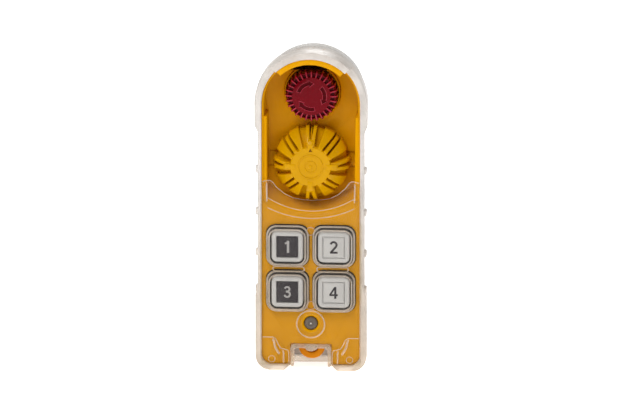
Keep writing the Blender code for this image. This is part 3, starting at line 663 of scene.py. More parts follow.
def arrow_outline(start_deg, end_deg, grow):
    """A curved arrow that runs clockwise round the face."""
    middle_r, half_band, half_head, head_deg = 7.5, 1.0, 1.85, 19.0
    neck = end_deg + head_deg
    grow_deg = degrees(grow / middle_r)
    tail = arc(0, ESTOP_Z, middle_r + half_band + grow, start_deg + grow_deg, neck, 16)
    back = arc(0, ESTOP_Z, middle_r - half_band - grow, neck, start_deg + grow_deg, 16)

    def polar(radius, deg):
        return (radius * cos(radians(deg)), ESTOP_Z + radius * sin(radians(deg)))

    head = [
        polar(middle_r + half_head + 1.6 * grow, neck + grow_deg * 0.6),
        polar(middle_r, end_deg - 2.0 * grow_deg),
        polar(middle_r - half_head - 1.6 * grow, neck + grow_deg * 0.6),
    ]
    return tail + head + back


def estop_head():
    steps = STOP_RIBS * RIB_SAMPLES
    rings = [[(13.0, 13.0)] * steps]
    for crest, valley in reversed(STOP_SLOPE):
        ring = []
        for i in range(steps):
            height = rib_height((i % RIB_SAMPLES) / RIB_SAMPLES)
            radius = valley[0] + height * (crest[0] - valley[0])
            ring.append((radius, valley[1] + height * (crest[1] - valley[1])))
        rings.append(ring)
    rings.append([(STOP_FACE_R - 0.1, 3.6)] * steps)
    head = turned_grid("stop_head", rings, ESTOP_Z, STOP_RED, 30)
    # The rib crests take the lighter red as a painted highlight.
    head.data.materials.append(STOP_RIB_PAINTED_HIGHLIGHT)
    for row in range(len(rings) - 1):
        for i in range(steps):
            if rib_height(((i + 0.5) % RIB_SAMPLES) / RIB_SAMPLES) > 0.5 and row < len(rings) - 2:
                head.data.polygons[row * steps + i].material_index = 1
    # The raised arrow outlines also take the painted highlight red.
    for start, end in STOP_ARROWS:
        combine(head, prism("outline", arrow_outline(start, end, 0.28), 3.45, 4.2, STOP_RIB_PAINTED_HIGHLIGHT), "UNION")
    # The arrow pockets take the darker red as painted shade.
    for start, end in STOP_ARROWS:
        pocket = prism("pocket", arrow_outline(start, end, 0.0), 3.0, 4.0, ARROW_PAINTED_SHADE)
        combine(head, pocket, "DIFFERENCE")
    cut(head, circle(6.4, ESTOP_Z, 32), 6.6, 14.0)
    return head


def estop_collar():
    profile = [
        (6.5, 18.9),
        (15.0, 18.9),
        (15.0, 12.8),
        (15.15, 12.35),
        (15.45, 12.2),
        (15.7, 12.5),
        (15.7, 18.3),
        (18.2, 18.3),
        (18.2, 20.6),
        (8.0, 20.6),
        (8.0, 25.6),
        (6.5, 25.6),
    ]
    return revolve("stop_collar", profile, (0, ESTOP_Z), CASE_YELLOW, 96)


# ---------------------------------------------------------------- rotary selector

KNOB_FRONT = -4.0
KNOB_CORE = (
    (0, KNOB_BACK),
    (17.8, KNOB_BACK),
    (17.8, 9.6),
    (14.8, 7.2),
    (12.3, 4.4),
    (11.5, -3.3),
    (11.1, KNOB_FRONT),
    (0, KNOB_FRONT),
)


def from_root(*crest):
    """A block's profile of (radius, depth): its crest from rim to middle, and its root inside the core."""
    root_r, root_depth = 10.8, 13.3
    return ((root_r, root_depth), (crest[0][0], root_depth), *crest, (root_r, crest[-1][1]))


HIGH_BLOCK = from_root((21.1, 6.9), (19.9, 4.4), (17.3, 1.0), (12.5, -3.3), (12.0, -3.8))
LOW_BLOCK = from_root((19.8, 9.4), (18.2, 7.4), (15.4, 4.6), (12.6, 1.6), (12.0, 0.2))
FORK_BAR = from_root((21.5, 6.4), (20.4, 4.0), (17.8, 0.6), (14.4, -2.6), (13.6, -3.0))
FORK_MIDDLE = from_root((20.0, 8.4), (18.8, 6.0), (16.4, 2.8), (13.6, -1.0), (12.6, -3.0))
FINGER_BAR = from_root((20.5, 7.0), (19.3, 4.2), (16.9, 0.9), (12.9, -3.2), (12.4, -3.8))
FORK_NECK = ((10.2, -3.0), (8.7, -3.6), (8.7, -4.2), (12.4, -4.2), (14.6, -2.9), (15.6, -1.3), (14.4, 0.6))


def smooth_step(value, start, end):
    t = min(1.0, max(0.0, (value - start) / (end - start)))
    return t * t * (3 - 2 * t)


def knob_point(radius, across, depth, deg):
    """A point at a radius along the direction deg and a distance to its left."""
    x = radius * cos(radians(deg)) - across * sin(radians(deg))
    z = radius * sin(radians(deg)) + across * cos(radians(deg))
    return at(x, depth, KNOB_Z + z)


def knob_form(name, profile, edges, deg, steps=1):
    """A block over a profile of (radius, depth); edges gives its two sides' distances across at a radius."""
    vertices, faces = [], []
    count = len(profile)
    for step in range(steps + 1):
        for radius, depth in profile:
            near, far = edges(radius)
            turn = asin(near / radius) + (asin(far / radius) - asin(near / radius)) * step / steps
            vertices.append(knob_point(radius * cos(turn), radius * sin(turn), depth, deg))
    for step in range(steps):
        for i in range(count):
            j = (i + 1) % count
            a, b = step * count, (step + 1) * count
            faces.append((a + i, a + j, b + j, b + i))
    faces.append(tuple(range(count)))
    faces.append(tuple(reversed(range(steps * count, (steps + 1) * count))))
    form = piece(name, vertices, faces, KNOB_YELLOW)
    soften(form, 0.2, 2, 12, 30)
    return form


def bar_line(radius):
    """How far across a line lies that runs beside the finger bar at 45 degrees."""
    return radius * sin(radians(45.0) - asin(2.45 / radius))


def step_line(radius):
    """How far across the step between the low and the high block lies."""
    return radius * sin(radians(20.5))


def fork_line(radius):
    """How far across the middle of a fork's bar lies."""
    return 1.25 + 0.13 * max(0.0, radius - 13.5)


def side_edges(side):
    """The edges of the high block, the low block and the fork's bar on one side."""

    def high(radius):
        return side * (step_line(radius) + 0.15), side * bar_line(radius)

    def low(radius):
        return side * (fork_line(radius) + 0.7), side * (step_line(radius) + 0.3)

    def bar(radius):
        return side * (fork_line(radius) - 0.95), side * (fork_line(radius) + 0.95)

    return high, low, bar


def even(half_width):
    return lambda radius: (-half_width, half_width)


def knob_quarter(deg):
    """The forms round one of the four forks."""
    forms = []
    for side in (1, -1):
        high, low, bar = side_edges(side)
        forms.append(knob_form("high", HIGH_BLOCK, high, deg, 4))
        forms.append(knob_form("low", LOW_BLOCK, low, deg, 4))
        forms.append(knob_form("fork", FORK_BAR, bar, deg))
    forms.append(knob_form("middle", FORK_MIDDLE, even(0.5), deg))
    neck = knob_form("neck", FORK_NECK, even(1.45), deg)
    # The neck's pointer cut takes the same painted shade.
    if deg == 90:
        combine(neck, prism("pointer", pointer_outline(), -5.0, -3.75, KNOB_PAINTED_SHADE), "DIFFERENCE")
    forms.append(neck)
    forms.append(knob_form("finger", FINGER_BAR, even(1.05), deg + 45))
    return forms


def pointer_outline():
    return [(-1.0, KNOB_Z + 8.9), (1.0, KNOB_Z + 8.9), (0.0, KNOB_Z + 10.9)]


def selector_knob():
    knob = revolve("selector_dial", KNOB_CORE, (0, KNOB_Z), KNOB_YELLOW, 180, 25)
    # The sunk pointer's faces take the dark amber as painted shade.
    combine(knob, prism("pointer", pointer_outline(), -5.0, -3.6, KNOB_PAINTED_SHADE), "DIFFERENCE")
    forms = []
    back = KNOB_FRONT + 0.3
    for inner_r, outer_r, height in ((6.5, 7.15, 0.4), (2.9, 3.5, 0.32)):
        front = KNOB_FRONT - height
        crest = ((inner_r, front + 0.1), ((inner_r + outer_r) / 2, front), (outer_r, front + 0.1))
        profile = [(inner_r, back), *crest, (outer_r, back)]
        forms.append(revolve("ring", profile, (0, KNOB_Z), KNOB_YELLOW, 72, 60))
    crest = ((1.1, KNOB_FRONT - 0.22), (0.85, KNOB_FRONT - 0.34), (0, KNOB_FRONT - 0.36))
    forms.append(revolve("dot", [(0, back), (1.1, back), *crest], (0, KNOB_Z), KNOB_YELLOW, 32))
    for deg in (0, 90, 180, 270):
        forms += knob_quarter(deg)
    merge(knob, forms)
    shade(knob, 25)
    return knob


# ---------------------------------------------------------------- keys and lamp


def key_places():
    number = 1
    for z in KEY_ROWS_Z:
        for x in (-KEY_X, KEY_X):
            yield number, x, z
            number += 1


def keypad_seal():
    """The rubber mat behind the face, with a raised rim round each key."""
    mat = prism("key_mat", box(-25.0, 25.0, 34.0, 84.8), 2.7, 3.7, SOFT_BLACK)
    for _, x, z in key_places():
        half = KEY_OPENING / 2 - GAP
        join(mat, rounded_box(x, z, half, half, 5.3), 0.9, 3.2)
    for _, x, z in key_places():
        half = KEY_CAP / 2 + 0.4
        cut(mat, rounded_box(x, z, half, half, 3.4), -2, 5)
    soften(mat, 0.25)
    return mat


def key_cap(number, x, z):
    half = KEY_CAP / 2
    sections = [
        (KEY_FRONT, rounded_box(x, z, half - 0.75, half - 0.75, 2.6)),
        (KEY_FRONT + 0.12, rounded_box(x, z, half - 0.4, half - 0.4, 2.8)),
        (KEY_FRONT + 0.4, rounded_box(x, z, half - 0.12, half - 0.12, 3.0)),
        (KEY_FRONT + 0.8, rounded_box(x, z, half, half, 3.1)),
        (4.4, rounded_box(x, z, half, half, 3.1)),
    ]
    cap = loft(f"cap_{number}", sections, KEY_GREY)
    join(cap, box(x - 10.0, x + 10.0, z - 10.0, z + 10.0), 4.1, 5.3)
    join(cap, box(x - 2.5, x + 2.5, z - 2.5, z + 2.5), 5.0, 9.0)
    pocket = 6.3
    cut(cap, rounded_box(x, z, pocket, pocket, 0.4, 3), KEY_FRONT - 1, KEY_FRONT + 0.8)
    soften(cap, 0.1, 2, 50)
    return cap


def stroke(points, half_width):
    """The closed outline of a line of even width along open points."""
    left, right = [], []
    for i, (x, z) in enumerate(points):
        before, after = points[max(i - 1, 0)], points[min(i + 1, len(points) - 1)]
        along_x, along_z = after[0] - before[0], after[1] - before[1]
        length = hypot(along_x, along_z)
        side_x, side_z = -along_z / length * half_width, along_x / length * half_width
        left.append((x + side_x, z + side_z))
        right.append((x - side_x, z - side_z))
    return right + left[::-1]


def figure_strokes(number):
    """Plain bold figures, 7 mm high, as (points, half width)."""
    if number == 1:
        return [([(0.45, -3.5), (0.45, 3.5)], 0.66), ([(-1.35, 1.95), (-0.3, 2.2), (0.45, 3.3)], 0.5)]
    if number == 2:
        bowl = arc(0.0, 1.6, 1.65, 170, -38, 14)
        return [(bowl + [(-1.45, -2.75)], 0.62), ([(-2.15, -2.9), (2.25, -2.9)], 0.6)]
    if number == 3:
        upper = arc(-0.05, 1.62, 1.32, 165, -90, 14) + [(-0.75, 0.3)]
        lower = [(-0.75, 0.2)] + arc(-0.05, -1.38, 1.55, 88, -165, 16)
        return [(upper, 0.5), (lower, 0.52)]
    slope, bar = [(0.75, 3.1), (-1.95, -1.1)], [(-2.4, -1.35), (2.35, -1.35)]
    return [([(0.95, -3.5), (0.95, 3.5)], 0.62), (slope, 0.52), (bar, 0.55)]


def numeral(number, x, z, depth, finish):
    """The key's figure, standing a hair proud of its label."""
    strokes = []
    for i, (points, half_width) in enumerate(figure_strokes(number)):
        outline = [(x + px, z + pz) for px, pz in stroke(points, half_width)]
        front = depth - 0.02 - 0.004 * i
        strokes.append(prism(f"figure_{number}_{i}", outline, front, depth + 0.1, finish))
    figure, *others = strokes
    merge(figure, others)
    return figure


def key_label(number, x, z):
    dark = number in (1, 3)
    front = KEY_FRONT + 0.1
    half = 6.0
    card = LABEL_DARK if dark else LABEL_LIGHT
    label = prism(f"label_{number}", rounded_box(x, z, half, half, 0.3, 3), front, front + 0.4, card)
    soften(label, 0.06)
    pieces = [label, numeral(number, x, z, front - 0.02, FIGURE_PALE if dark else LABEL_DARK)]
    if not dark:
        outline = rounded_box(x, z, 5.75, 5.75, 0.2, 3)
        line = prism(f"label_line_{number}", outline, front - 0.03, front + 0.1, LABEL_LINE)
        cut(line, rounded_box(x, z, 5.6, 5.6, 0.15, 3), front - 1, front + 1)
        pieces.append(line)
    return pieces


def lamp_lens():
    profile = [
        (0, -0.25),
        (0.5, -0.2),
        (1.0, 0.1),
        (1.5, 0.15),
        (1.7, -0.15),
        (2.6, -0.2),
        (3.2, 0.1),
        (LAMP_R, 0.8),
        (LAMP_R, 2.7),
        (4.5, 2.7),
        (4.5, 3.7),
        (0, 3.7),
    ]
    lens = revolve("lamp_lens", profile, (0, LAMP_Z), LENS_SMOKE, 48)
    tip_profile = [(0, -0.6), (0.35, -0.5), (0.5, -0.2), (0.5, 0.3), (0, 0.3)]
    return lens, revolve("lamp_tip", tip_profile, (0, LAMP_Z), LENS_TIP, 24)


# ---------------------------------------------------------------- jacket


def jacket_outline(inset):
    corner = 8.5
    low, middle, top_r = JACKET_LOW - inset, JACKET_MID - inset, JACKET_TOP_R - inset
    right = [(low, 44.0), (middle, 48.0), (middle, 139.0), (top_r, 143.0)]
    left = [(-x, z) for x, z in reversed(right)]
    return (
        arc(-low + corner, inset + corner, corner, 180, 270, 12)
        + arc(low - corner, inset + corner, corner, 270, 360, 12)
        + right
        + arc(0, ARCH_Z, top_r, 0, 180, 72)
        + left
    )


def foot_gap():
    """The space between the jacket's two feet, wider at the bottom where their inner corners slope."""
    right = [(16.4, -1.0), (15.3, 0.0), (12.2, 3.1), (10.8, 4.4), (10.8, 14.6)]
    return right + [(-x, z) for x, z in reversed(right)]


def jacket_band():
    """The thick band round the front: a frame whose inside follows the case."""
    sections = [
        (JACKET_FRONT, jacket_outline(1.3)),
        (JACKET_FRONT + 0.15, jacket_outline(0.7)),
        (JACKET_FRONT + 0.6, jacket_outline(0.2)),
        (JACKET_FRONT + 1.3, jacket_outline(0)),
        (BAND_BACK - 0.8, jacket_outline(0)),
        (BAND_BACK - 0.2, jacket_outline(0.3)),
        (BAND_BACK, jacket_outline(0.9)),
    ]
    band = loft("jacket_band", sections, JACKET_THICK)
    brow = ring_sector(HALF_WIDTH - 1.0, JACKET_TOP_R - 0.1, BROW_HALF_ANGLE + 1.5)
    join(band, brow, -BROW_PROUD - 0.5, 4)
    cut(band, arch(HALF_WIDTH + 0.03, FEET_Z - 0.03), -BROW_PROUD - 2, BAND_BACK + 1)
    cut(band, foot_gap(), -3, SEAM_DEPTH)
    soften(band, 0.35, 3, 50)
    for side in (-1, 1):
        for z in NUBS_Z:
            small = rounded_box(side * JACKET_MID, z, 0.9, 1.2, 0.5, 4)
            full = rounded_box(side * JACKET_MID, z, 1.3, 1.9, 0.8, 4)
            nub = loft("nub", [(0.5, small), (1.2, full), (5.0, full), (5.7, small)], None)
            combine(band, nub, "UNION")
    return band


def jacket_skin():
    """The thin skin over the tapering sides and the back, open over the middle of the back."""
    corner = CASE_CORNER_R + SKIN
    depths = [7.5, 12.0, 19.5, *range(22, 42, 2), 41.5, 43.0, 44.5, 45.6]
    sections = [(d, rear_outline(d, -SKIN, 0, corner)) for d in depths]
    sections.append((46.5, rear_outline(REAR_DEPTH, -SKIN + 0.5, 0.5, corner)))
    sections.append((JACKET_BACK, rear_outline(REAR_DEPTH, -SKIN + 1.6, 1.6, corner)))
    skin = loft("jacket_skin", sections, JACKET_SKIN)
    case_depths = (6.0, 19.5, 26.0, 32.0, 38.0, 43.0, REAR_DEPTH + GAP)
    case = [(d, rear_outline(d, -GAP, FEET_Z - GAP)) for d in case_depths]
    combine(skin, loft("case_space", case, None), "DIFFERENCE")
    cut(skin, rear_outline(REAR_DEPTH, 7.0, FEET_Z + 7.0), 40, JACKET_BACK + 1)
    cut(skin, foot_gap(), -3, SEAM_DEPTH)
    soften(skin, 0.4, 3, 50)
    return skin


def lip_point(x):
    """Depth and height of the lip at x."""
    side = abs(x)
    for (x0, d0, z0), (x1, d1, z1) in zip(LIP, LIP[1:]):
        if side <= x1:
            t = (side - x0) / (x1 - x0)
            return d0 + t * (d1 - d0), z0 + t * (z1 - z0)
    return LIP[-1][1], LIP[-1][2]


def sag(x, middle_z, radius):
    """Height at x of an arc that hangs down to middle_z in the middle."""
    return middle_z + radius - sqrt(radius**2 - x**2)


def jacket_face():
    """The clear sheet over the lower front: flat at the feet, dipping into the recess at its top."""
    half, columns, flat_rows, edge_rows, dip_rows = 28.3, 112, 8, 4, 14
    bottom = FEET_Z - 0.5
    outer, inner = [], []
    for row in range(flat_rows + edge_rows + dip_rows + 1):
        for column in range(columns + 1):
            x = -half + 2 * half * column / columns
            lip_depth, lip_z = lip_point(x)
            low_z, high_z = sag(x, *LOW_ARC), min(sag(x, *HIGH_ARC), lip_z - 0.4)
            dip = (ARC_DEPTH - JACKET_FRONT) * (1 - (x / half) ** 6)
            if row <= flat_rows:
                z = bottom + (low_z - bottom) * row / flat_rows
                depth = JACKET_FRONT
            elif row <= flat_rows + edge_rows:
                t = (row - flat_rows) / edge_rows
                z = low_z + (high_z - low_z) * t
                depth = JACKET_FRONT + dip * smooth_step(t, 0, 1)
            else:
                t = (row - flat_rows - edge_rows) / dip_rows
                z = high_z + (lip_z - high_z) * t
                start = JACKET_FRONT + dip
                depth = start + (lip_depth - 0.3 - start) * t
            outer.append((x, depth, z))
            inner.append((x, depth + 1.1, z - 0.15))
    vertices = [at(*p) for p in outer + inner]
    faces = []
    width = columns + 1
    rows = flat_rows + edge_rows + dip_rows
    shift = len(outer)
    for row in range(rows):
        for column in range(columns):
            a = row * width + column
            b, c, d = a + 1, a + width + 1, a + width
            faces.append((a, b, c, d))
            faces.append((shift + d, shift + c, shift + b, shift + a))
    for column in range(columns):
        a, b = column, column + 1
        faces.append((b, a, shift + a, shift + b))
        a, b = rows * width + column, rows * width + column + 1
        faces.append((a, b, shift + b, shift + a))
    for row in range(rows):
        a, b = row * width, (row + 1) * width
        faces.append((a, b, shift + b, shift + a))
        a, b = a + columns, b + columns
        faces.append((b, a, shift + a, shift + b))
    sheet = piece("jacket_face", vertices, faces, JACKET_FILM, 25)
    cut(sheet, box(-9.6, 9.6, -2, 13.8), -4, 6)
    for _, x, z in key_places():
        cut(sheet, rounded_box(x, z, DOME_HALF, DOME_HALF, 5.5), -4, 4)
    cut(sheet, circle(5.3, LAMP_Z, 48), -4, 4)
    for outline, proud in raised_forms():
        combine(sheet, pillow(outline, JACKET_FRONT + 0.3, JACKET_FRONT - proud, 1.0), "UNION")
    shade(sheet, 30)
    return sheet


def pillow(outline, back, front, soft):
    """A raised form with rounded edges over a convex or nearly convex outline."""
    centre_x = sum(p[0] for p in outline) / len(outline)
    centre_z = sum(p[1] for p in outline) / len(outline)
    reach = max(hypot(x - centre_x, z - centre_z) for x, z in outline)

    def inset(amount):
        points = []
        count = len(outline)
        for i, (x, z) in enumerate(outline):
            before, after = outline[i - 1], outline[(i + 1) % count]
            along_x, along_z = after[0] - before[0], after[1] - before[1]
            length = hypot(along_x, along_z) or reach
            points.append((x - amount * along_z / length, z + amount * along_x / length))
        return points

    rise = front - back
    sections = [(back, outline)]
    for i in range(5):
        angle = radians(90 * i / 4)
        sections.append((back + 0.3 * rise + 0.7 * rise * sin(angle), inset(soft * (1 - cos(angle)))))
    return loft("pillow", sections, None, 80)


def foot_outline():
    """The raised pad over the right foot."""
    outer = [(27.6, 3.9), (27.6, 18.9), (26.9, 19.9), (20.6, 20.0), (18.9, 18.8), (17.9, 16.4)]
    corners = outer + [(16.7, 14.2), (14.9, 13.0), (13.4, 12.6), (12.4, 11.0), (12.2, 3.9)]
    return dense(corners + corners[:1], 1.2)[:-1]


def mirrored(outline):
    return [(-x, z) for x, z in reversed(outline)]


def raised_forms():
    """The bars between the keys, the rails beside them, the corner pads and the pads on the feet."""
    forms = []
    for side in (-1, 1):
        forms.append((rounded_box(side * 12.4, BAR_Z, 9.0, 1.6, 1.55), 1.5))
        forms.append((rounded_box(side * 27.4, 63.5, 1.3, 24.0, 1.25), 1.2))
        forms.append((rounded_box(side * 26.5, 97.6, 1.8, 2.6, 1.6), 1.0))
    forms.append((foot_outline(), 0.9))
    forms.append((mirrored(foot_outline()), 0.9))
    return forms


def dense(points, longest):
    """The line with points added along its long stretches."""
    result = []
    for (x0, z0), (x1, z1) in zip(points, points[1:]):
        count = max(1, int(hypot(x1 - x0, z1 - z0) / longest))
        result += [(x0 + (x1 - x0) * i / count, z0 + (z1 - z0) * i / count) for i in range(count)]
    return result + [points[-1]]


def lip_and_creases():
    """The sheet's thickened lip, and the two creases where it leaves the flat front."""
    lip = []
    for i in range(113):
        x = -27.4 + 54.8 * i / 112
        depth, z = lip_point(x)
        lip.append((x, depth - 0.1, z))
    beads = [tube("jacket_beads", lip, 0.2, JACKET_BEAD)]
    for arc_size, depth in ((LOW_ARC, JACKET_FRONT), (HIGH_ARC, ARC_DEPTH)):
        points = []
        for i in range(81):
            x = -24.6 + 49.2 * i / 80
            flattened = (depth - JACKET_FRONT) * (x / 27.9) ** 6
            points.append((x, depth - flattened - 0.05, sag(x, *arc_size)))
        beads.append(tube("arc", points, 0.2, JACKET_BEAD))
    return beads


def foot_lines():
    """Creases and folds on the right foot: points (x, z), how far proud, bead radius and point spacing."""
    crease = [(27.4, 19.9), (21.3, 19.9), (19.7, 18.8), (18.4, 15.9), (17.1, 13.6)]
    crease += [(14.6, 12.9), (12.9, 12.4), (12.3, 10.8), (12.2, 4.6)]
    upper_fold = [(21.4, 19.0), (20.6, 17.2), (20.3, 14.8), (19.0, 12.2), (17.6, 10.0)]
    lower_fold = [(15.6, 12.4), (15.2, 10.4), (15.3, 6.8), (15.2, 4.8)]
    edge = [(28.05, 109.0), (28.05, 9.6)] + arc(22.0, 9.6, 6.05, 0, -90, 10)[1:]
    edge += [(13.0, 3.55), (11.9, 4.6)]
    return (
        (crease, 0.75, 0.26, 0.6),
        (upper_fold, 0.85, 0.6, 0.6),
        (lower_fold, 0.75, 0.45, 0.6),
        (edge, 0.05, 0.4, 1.5),
    )


def side_beads(side):
    """The beads on one side: the sheet's corner crease, the foot's lines and ring, and the bar's edge."""
    points = [(side * (24.9 - 0.02 * i), -1.0 - 0.06 * i, 109.9 - 1.1 * i) for i in range(11)]
    beads = [tube("crease", points, 0.42, JACKET_BEAD)]
    for line, proud, radius, longest in foot_lines():
        path = [(side * x, JACKET_FRONT - proud, z) for x, z in dense(line, longest)]
        beads.append(tube("foot_line", path, radius, JACKET_BEAD))
    ring = circle(1.85, 7.2, 32, side * 22.0)
    beads.append(loop_bead("foot_ring", ring, JACKET_FRONT - 0.9, 0.2, JACKET_BEAD))
    bar = rounded_box(side * 12.4, BAR_Z, 8.8, 1.35, 1.3)
    beads.append(loop_bead("bar_edge", bar, JACKET_FRONT - 0.75, 0.34, JACKET_BEAD))
    return beads


def jacket_beads():
    """The thickened lip of the sheet, its creases and its small mouldings."""
    bead, *parts = lip_and_creases() + side_beads(-1) + side_beads(1)
    parts.append(loop_bead("lamp_ring", circle(7.85, LAMP_Z, 72), JACKET_FRONT - 0.2, 0.42, JACKET_BEAD))
    for z in MARKS_Z:
        parts.append(loop_bead("mark_ring", circle(MARK_R, z, 32), JACKET_FRONT - 0.05, 0.16, JACKET_BEAD))
    merge(bead, parts)
    return bead


def notch_edge():
    """The jacket's edge rolled round the notch between the feet, with a small tab in the middle."""
    outer = [(11.6, 3.4), (11.6, 13.2), (11.0, 14.9), (9.3, 15.6)]
    inner = [(3.4, 13.5), (7.8, 13.5), (9.0, 13.0), (9.5, 11.8), (9.6, 3.0), (10.4, 2.4)]
    longest, tab_z, tab_r, tab_share = 1.5, 13.6, 3.1, 0.62
    tab = [(x, tab_z + (z - tab_z) * tab_share) for x, z in arc(0, tab_z, tab_r, 180, 360, 10)]
    outline = [(-x, z) for x, z in dense(outer, longest)] + dense(outer[::-1], longest)
    outline += dense(inner, longest)[::-1] + tab[::-1]
    outline += [(-x, z) for x, z in dense(inner, longest)]
    edge = prism("jacket_notch", outline, JACKET_FRONT - 0.3, 5.5, JACKET_BEAD)
    soften(edge, 0.6, 3, 50)
    return edge


def loop_bead(name, outline, depth, radius, finish, sides=8):
    """A round bead along a closed outline at one depth."""
    vertices, faces = [], []
    count = len(outline)
    for i, (x, z) in enumerate(outline):
        before, after = outline[i - 1], outline[(i + 1) % count]
        along_x, along_z = after[0] - before[0], after[1] - before[1]
        length = hypot(along_x, along_z)
        out_x, out_z = along_z / length, -along_x / length
        for side in range(sides):
            angle = 2 * pi * side / sides
            out = radius * cos(angle)
            vertices.append(at(x + out * out_x, depth + radius * sin(angle), z + out * out_z))
    for i in range(count):
        j = (i + 1) % count
        for side in range(sides):
            other = (side + 1) % sides
            faces.append((i * sides + side, i * sides + other, j * sides + other, j * sides + side))
    return piece(name, vertices, faces, finish, 80)


def key_dome(number, x, z):
    """The raised window over one key: a closed shell with a flat top, thick edges and a flared foot."""
    shell = (
        (-1.35, 11.7, 5.6),
        (-2.1, 11.35, 5.4),
        (-3.2, 10.85, 5.0),
        (-4.2, 10.45, 4.8),
        (-4.75, 10.0, 4.4),
        (-4.95, 9.4, 4.0),
        (-4.95, 8.8, 3.6),
        (-4.4, 8.8, 3.6),
        (-4.35, 9.6, 4.1),
        (-3.2, 10.1, 4.5),
        (-2.1, 10.6, 4.9),
        (-1.1, 10.9, 5.2),
        (-0.7, 11.7, 5.6),
    )
    front_ring, under_ring = 6, 7
    outlines = [(d, rounded_box(x, z, h, h, r, 8)) for d, h, r in shell]
    count = len(outlines[0][1])
    vertices, faces = [], []
    for depth, outline in outlines:
        vertices += [at(px, depth, pz) for px, pz in outline]
    for ring in range(len(outlines)):
        if ring == front_ring:
            continue
        a, b = ring * count, ((ring + 1) % len(outlines)) * count
        for i in range(count):
            j = (i + 1) % count
            faces.append((a + i, a + j, b + j, b + i))
    faces.append(tuple(range(front_ring * count, (front_ring + 1) * count)))
    faces.append(tuple(reversed(range(under_ring * count, (under_ring + 1) * count))))
    dome = piece(f"jacket_dome_{number}", vertices, faces, JACKET_DOME, 40)
    dome.data.materials.append(JACKET_BEAD)
    beads = []
    for depth, half, corner, radius in ((-1.6, DOME_HALF, 5.4, 0.5), (-4.3, 10.15, 4.6, 0.36)):
        bead = loop_bead("bead", rounded_box(x, z, half, half, corner, 8), depth, radius, JACKET_BEAD)
        for polygon in bead.data.polygons:
            polygon.material_index = 1
        beads.append(bead)
    merge(dome, beads)
    shade(dome, 40)
    return dome


# ---------------------------------------------------------------- putting it together


def place(obj, body, slot, *nodes):
    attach(obj, body)
    if nodes:
        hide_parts(*nodes)


def build_case():
    place(front_housing(), "root", "yellow_plastic", "front_housing")
    place(rear_housing(), "root", "grey_plastic", "rear_housing")
    place(battery_cover(), "root", "grey_plastic", "battery_cover")
    place(lanyard_eye(), "root", "yellow_plastic", "lanyard_eye")
    back = REAR_DEPTH - 0.4
    shank = [(0, 16.1), (1.5, 16.1), (1.5, 42.4)]
    profile = shank + [(2.8, 42.4), (2.8, back - 0.4), (2.3, back), (0, back)]
    for name, x, z in screw_places():
        made = screw("case_screw_" + name, x, z, profile, back, (1.5, 0.3))
        place(made, "root", "steel", "housing_screw_" + name)
    back = REAR_DEPTH - 0.1
    shank = [(0, 38.6), (1.1, 38.6), (1.1, 44.1)]
    profile = shank + [(2.4, 44.1), (2.4, 44.6), (2.1, back), (0, back)]
    made = screw("lid_screw", 0, COVER_SCREW_Z, profile, back, (1.3, 0.25))
    place(made, "root", "steel", "cover_screw")


def build_controls():
    place(estop_head(), "estop_button", "red_plastic", "estop_head")
    place(estop_collar(), "root", "yellow_plastic", "estop_collar")
    place(selector_knob(), "selector", "knob_plastic", "selector_knob")
    place(keypad_seal(), "root", "black_rubber", "keypad_seal")
    for number, x, z in key_places():
        body = f"key_{number}"
        place(key_cap(number, x, z), body, "key_plastic", f"key_cap_{number}")
        label, *marks = key_label(number, x, z)
        place(label, body, "label_stock", f"key_label_{number}")
        for mark in marks:
            place(mark, body, "label_stock")
    lens, tip = lamp_lens()
    place(lens, "root", "smoked_lens", "led_lens")
    place(tip, "root", "smoked_lens")


def build_jacket():
    place(jacket_band(), "root", "clear_silicone", "protective_jacket")
    place(jacket_skin(), "root", "clear_silicone")
    place(jacket_face(), "root", "clear_silicone")
    place(jacket_beads(), "root", "clear_silicone")
    place(notch_edge(), "root", "clear_silicone")
    for number, x, z in key_places():
        dome = key_dome(number, x, z)
        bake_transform(dome)


def finish_inner_pieces():
    """The CAD pieces that stay, each with its own finish."""
    black = ["antenna", "rotary_switch"]
    black += ["estop_" + part for part in ("contact_block", "lock_ring", "loom", "stem")]
    for number, _, _ in key_places():
        black += [f"key_plunger_{number}", f"key_switch_{number}"]
    steel = ["battery_cell_left", "battery_cell_right", "estop_spring", "knob_shaft", "radio_module"]
    groups = (
        (HARD_BLACK, black),
        (STEEL, steel + ["rotary_switch_nut"]),
        (BRASS, ("battery_contact_bottom", "battery_contact_top")),
        (SOFT_BLACK, ("housing_gasket", "selector_seal")),
        (LENS_TIP, ("light_pipe", "status_led")),
        (BOARD, ("main_board",)),
        (LOOM_RED, ("selector_loom",)),
    )
    for finish, names in groups:
        for name in names:
            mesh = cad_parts[name].data
            mesh.materials.clear()
            mesh.materials.append(finish)


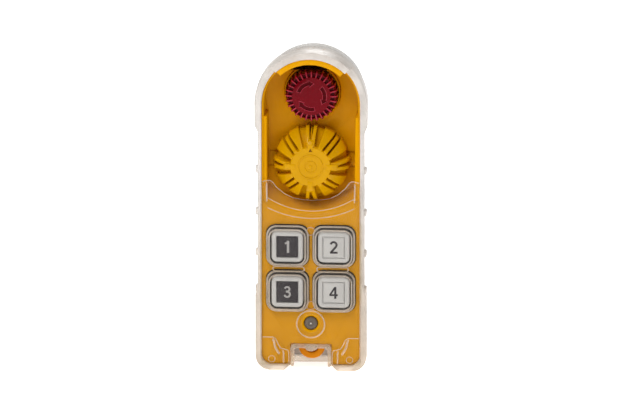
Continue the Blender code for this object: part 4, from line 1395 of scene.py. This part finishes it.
def build_stage():
    """A pale floor all round and soft lights."""
    material, tree, shader = fresh("pale_floor")
    cloud = ranged(tree, noise(tree, 2.0, 2.0), 0.0, 1.0)
    pale = mixed(tree, cloud, (0.90, 0.90, 0.90), (0.93, 0.93, 0.93))
    tree.links.new(pale, shader.inputs["Base Color"])
    shader.inputs["Roughness"].default_value = 0.9
    shader.inputs["Specular IOR Level"].default_value = 0.1
    shader.inputs["Emission Color"].default_value = (1.0, 1.0, 1.0, 1)
    shader.inputs["Emission Strength"].default_value = 0.8
    reach = 4.0
    corners = [(-reach, -reach, 0), (reach, -reach, 0), (reach, reach, 0), (-reach, reach, 0)]
    piece("floor", corners, [(0, 1, 2, 3)], material)

    world = bpy.data.worlds.new("studio")
    bpy.context.scene.world = world
    world.use_nodes = True
    sky = world.node_tree.nodes["Background"]
    sky.inputs["Color"].default_value = (1.0, 1.0, 1.0, 1)
    sky.inputs["Strength"].default_value = 0.2

    middle = Vector((0, 0, 0.095))
    lights = (
        ("top_box", (-0.25, -0.55, 1.0), 0.5, 6.6),
        ("left_strip", (-0.8, -0.75, 0.5), 0.25, 0.6),
        ("right_strip", (0.85, -0.7, 0.45), 0.25, 0.45),
        ("front_fill", (0.0, -1.6, 0.68), 0.8, 1.1),
        ("rear_box", (0.1, 0.7, 0.9), 0.5, 5.0),
    )
    for name, where, size, power in lights:
        lamp = bpy.data.lights.new(name, "AREA")
        lamp.shape = "SQUARE"
        lamp.size = size
        lamp.energy = power
        holder = bpy.data.objects.new(name, lamp)
        holder.location = where
        holder.rotation_euler = (middle - Vector(where)).to_track_quat("-Z", "Y").to_euler()
        bpy.context.scene.collection.objects.link(holder)


def build_camera():
    azimuth, elevation, distance = radians(4.0), radians(15.5), 10.0
    target = Vector((-0.0002, FRONT_Y, 0.0958))
    away = Vector((sin(azimuth) * cos(elevation), -cos(azimuth) * cos(elevation), sin(elevation)))
    camera = bpy.data.cameras.new("camera")
    camera.sensor_width = 36.0
    width_at_target = 0.349623
    camera.lens = camera.sensor_width * distance / width_at_target
    camera.clip_end = 30.0
    holder = bpy.data.objects.new("camera", camera)
    holder.location = target + distance * away
    holder.rotation_euler = (-away).to_track_quat("-Z", "Y").to_euler()
    bpy.context.scene.collection.objects.link(holder)
    bpy.context.scene.camera = holder


build_case()
build_controls()
build_jacket()
finish_inner_pieces()
build_stage()
build_camera()
bpy.context.scene.view_settings.view_transform = "Standard"
bpy.context.view_layer.update()
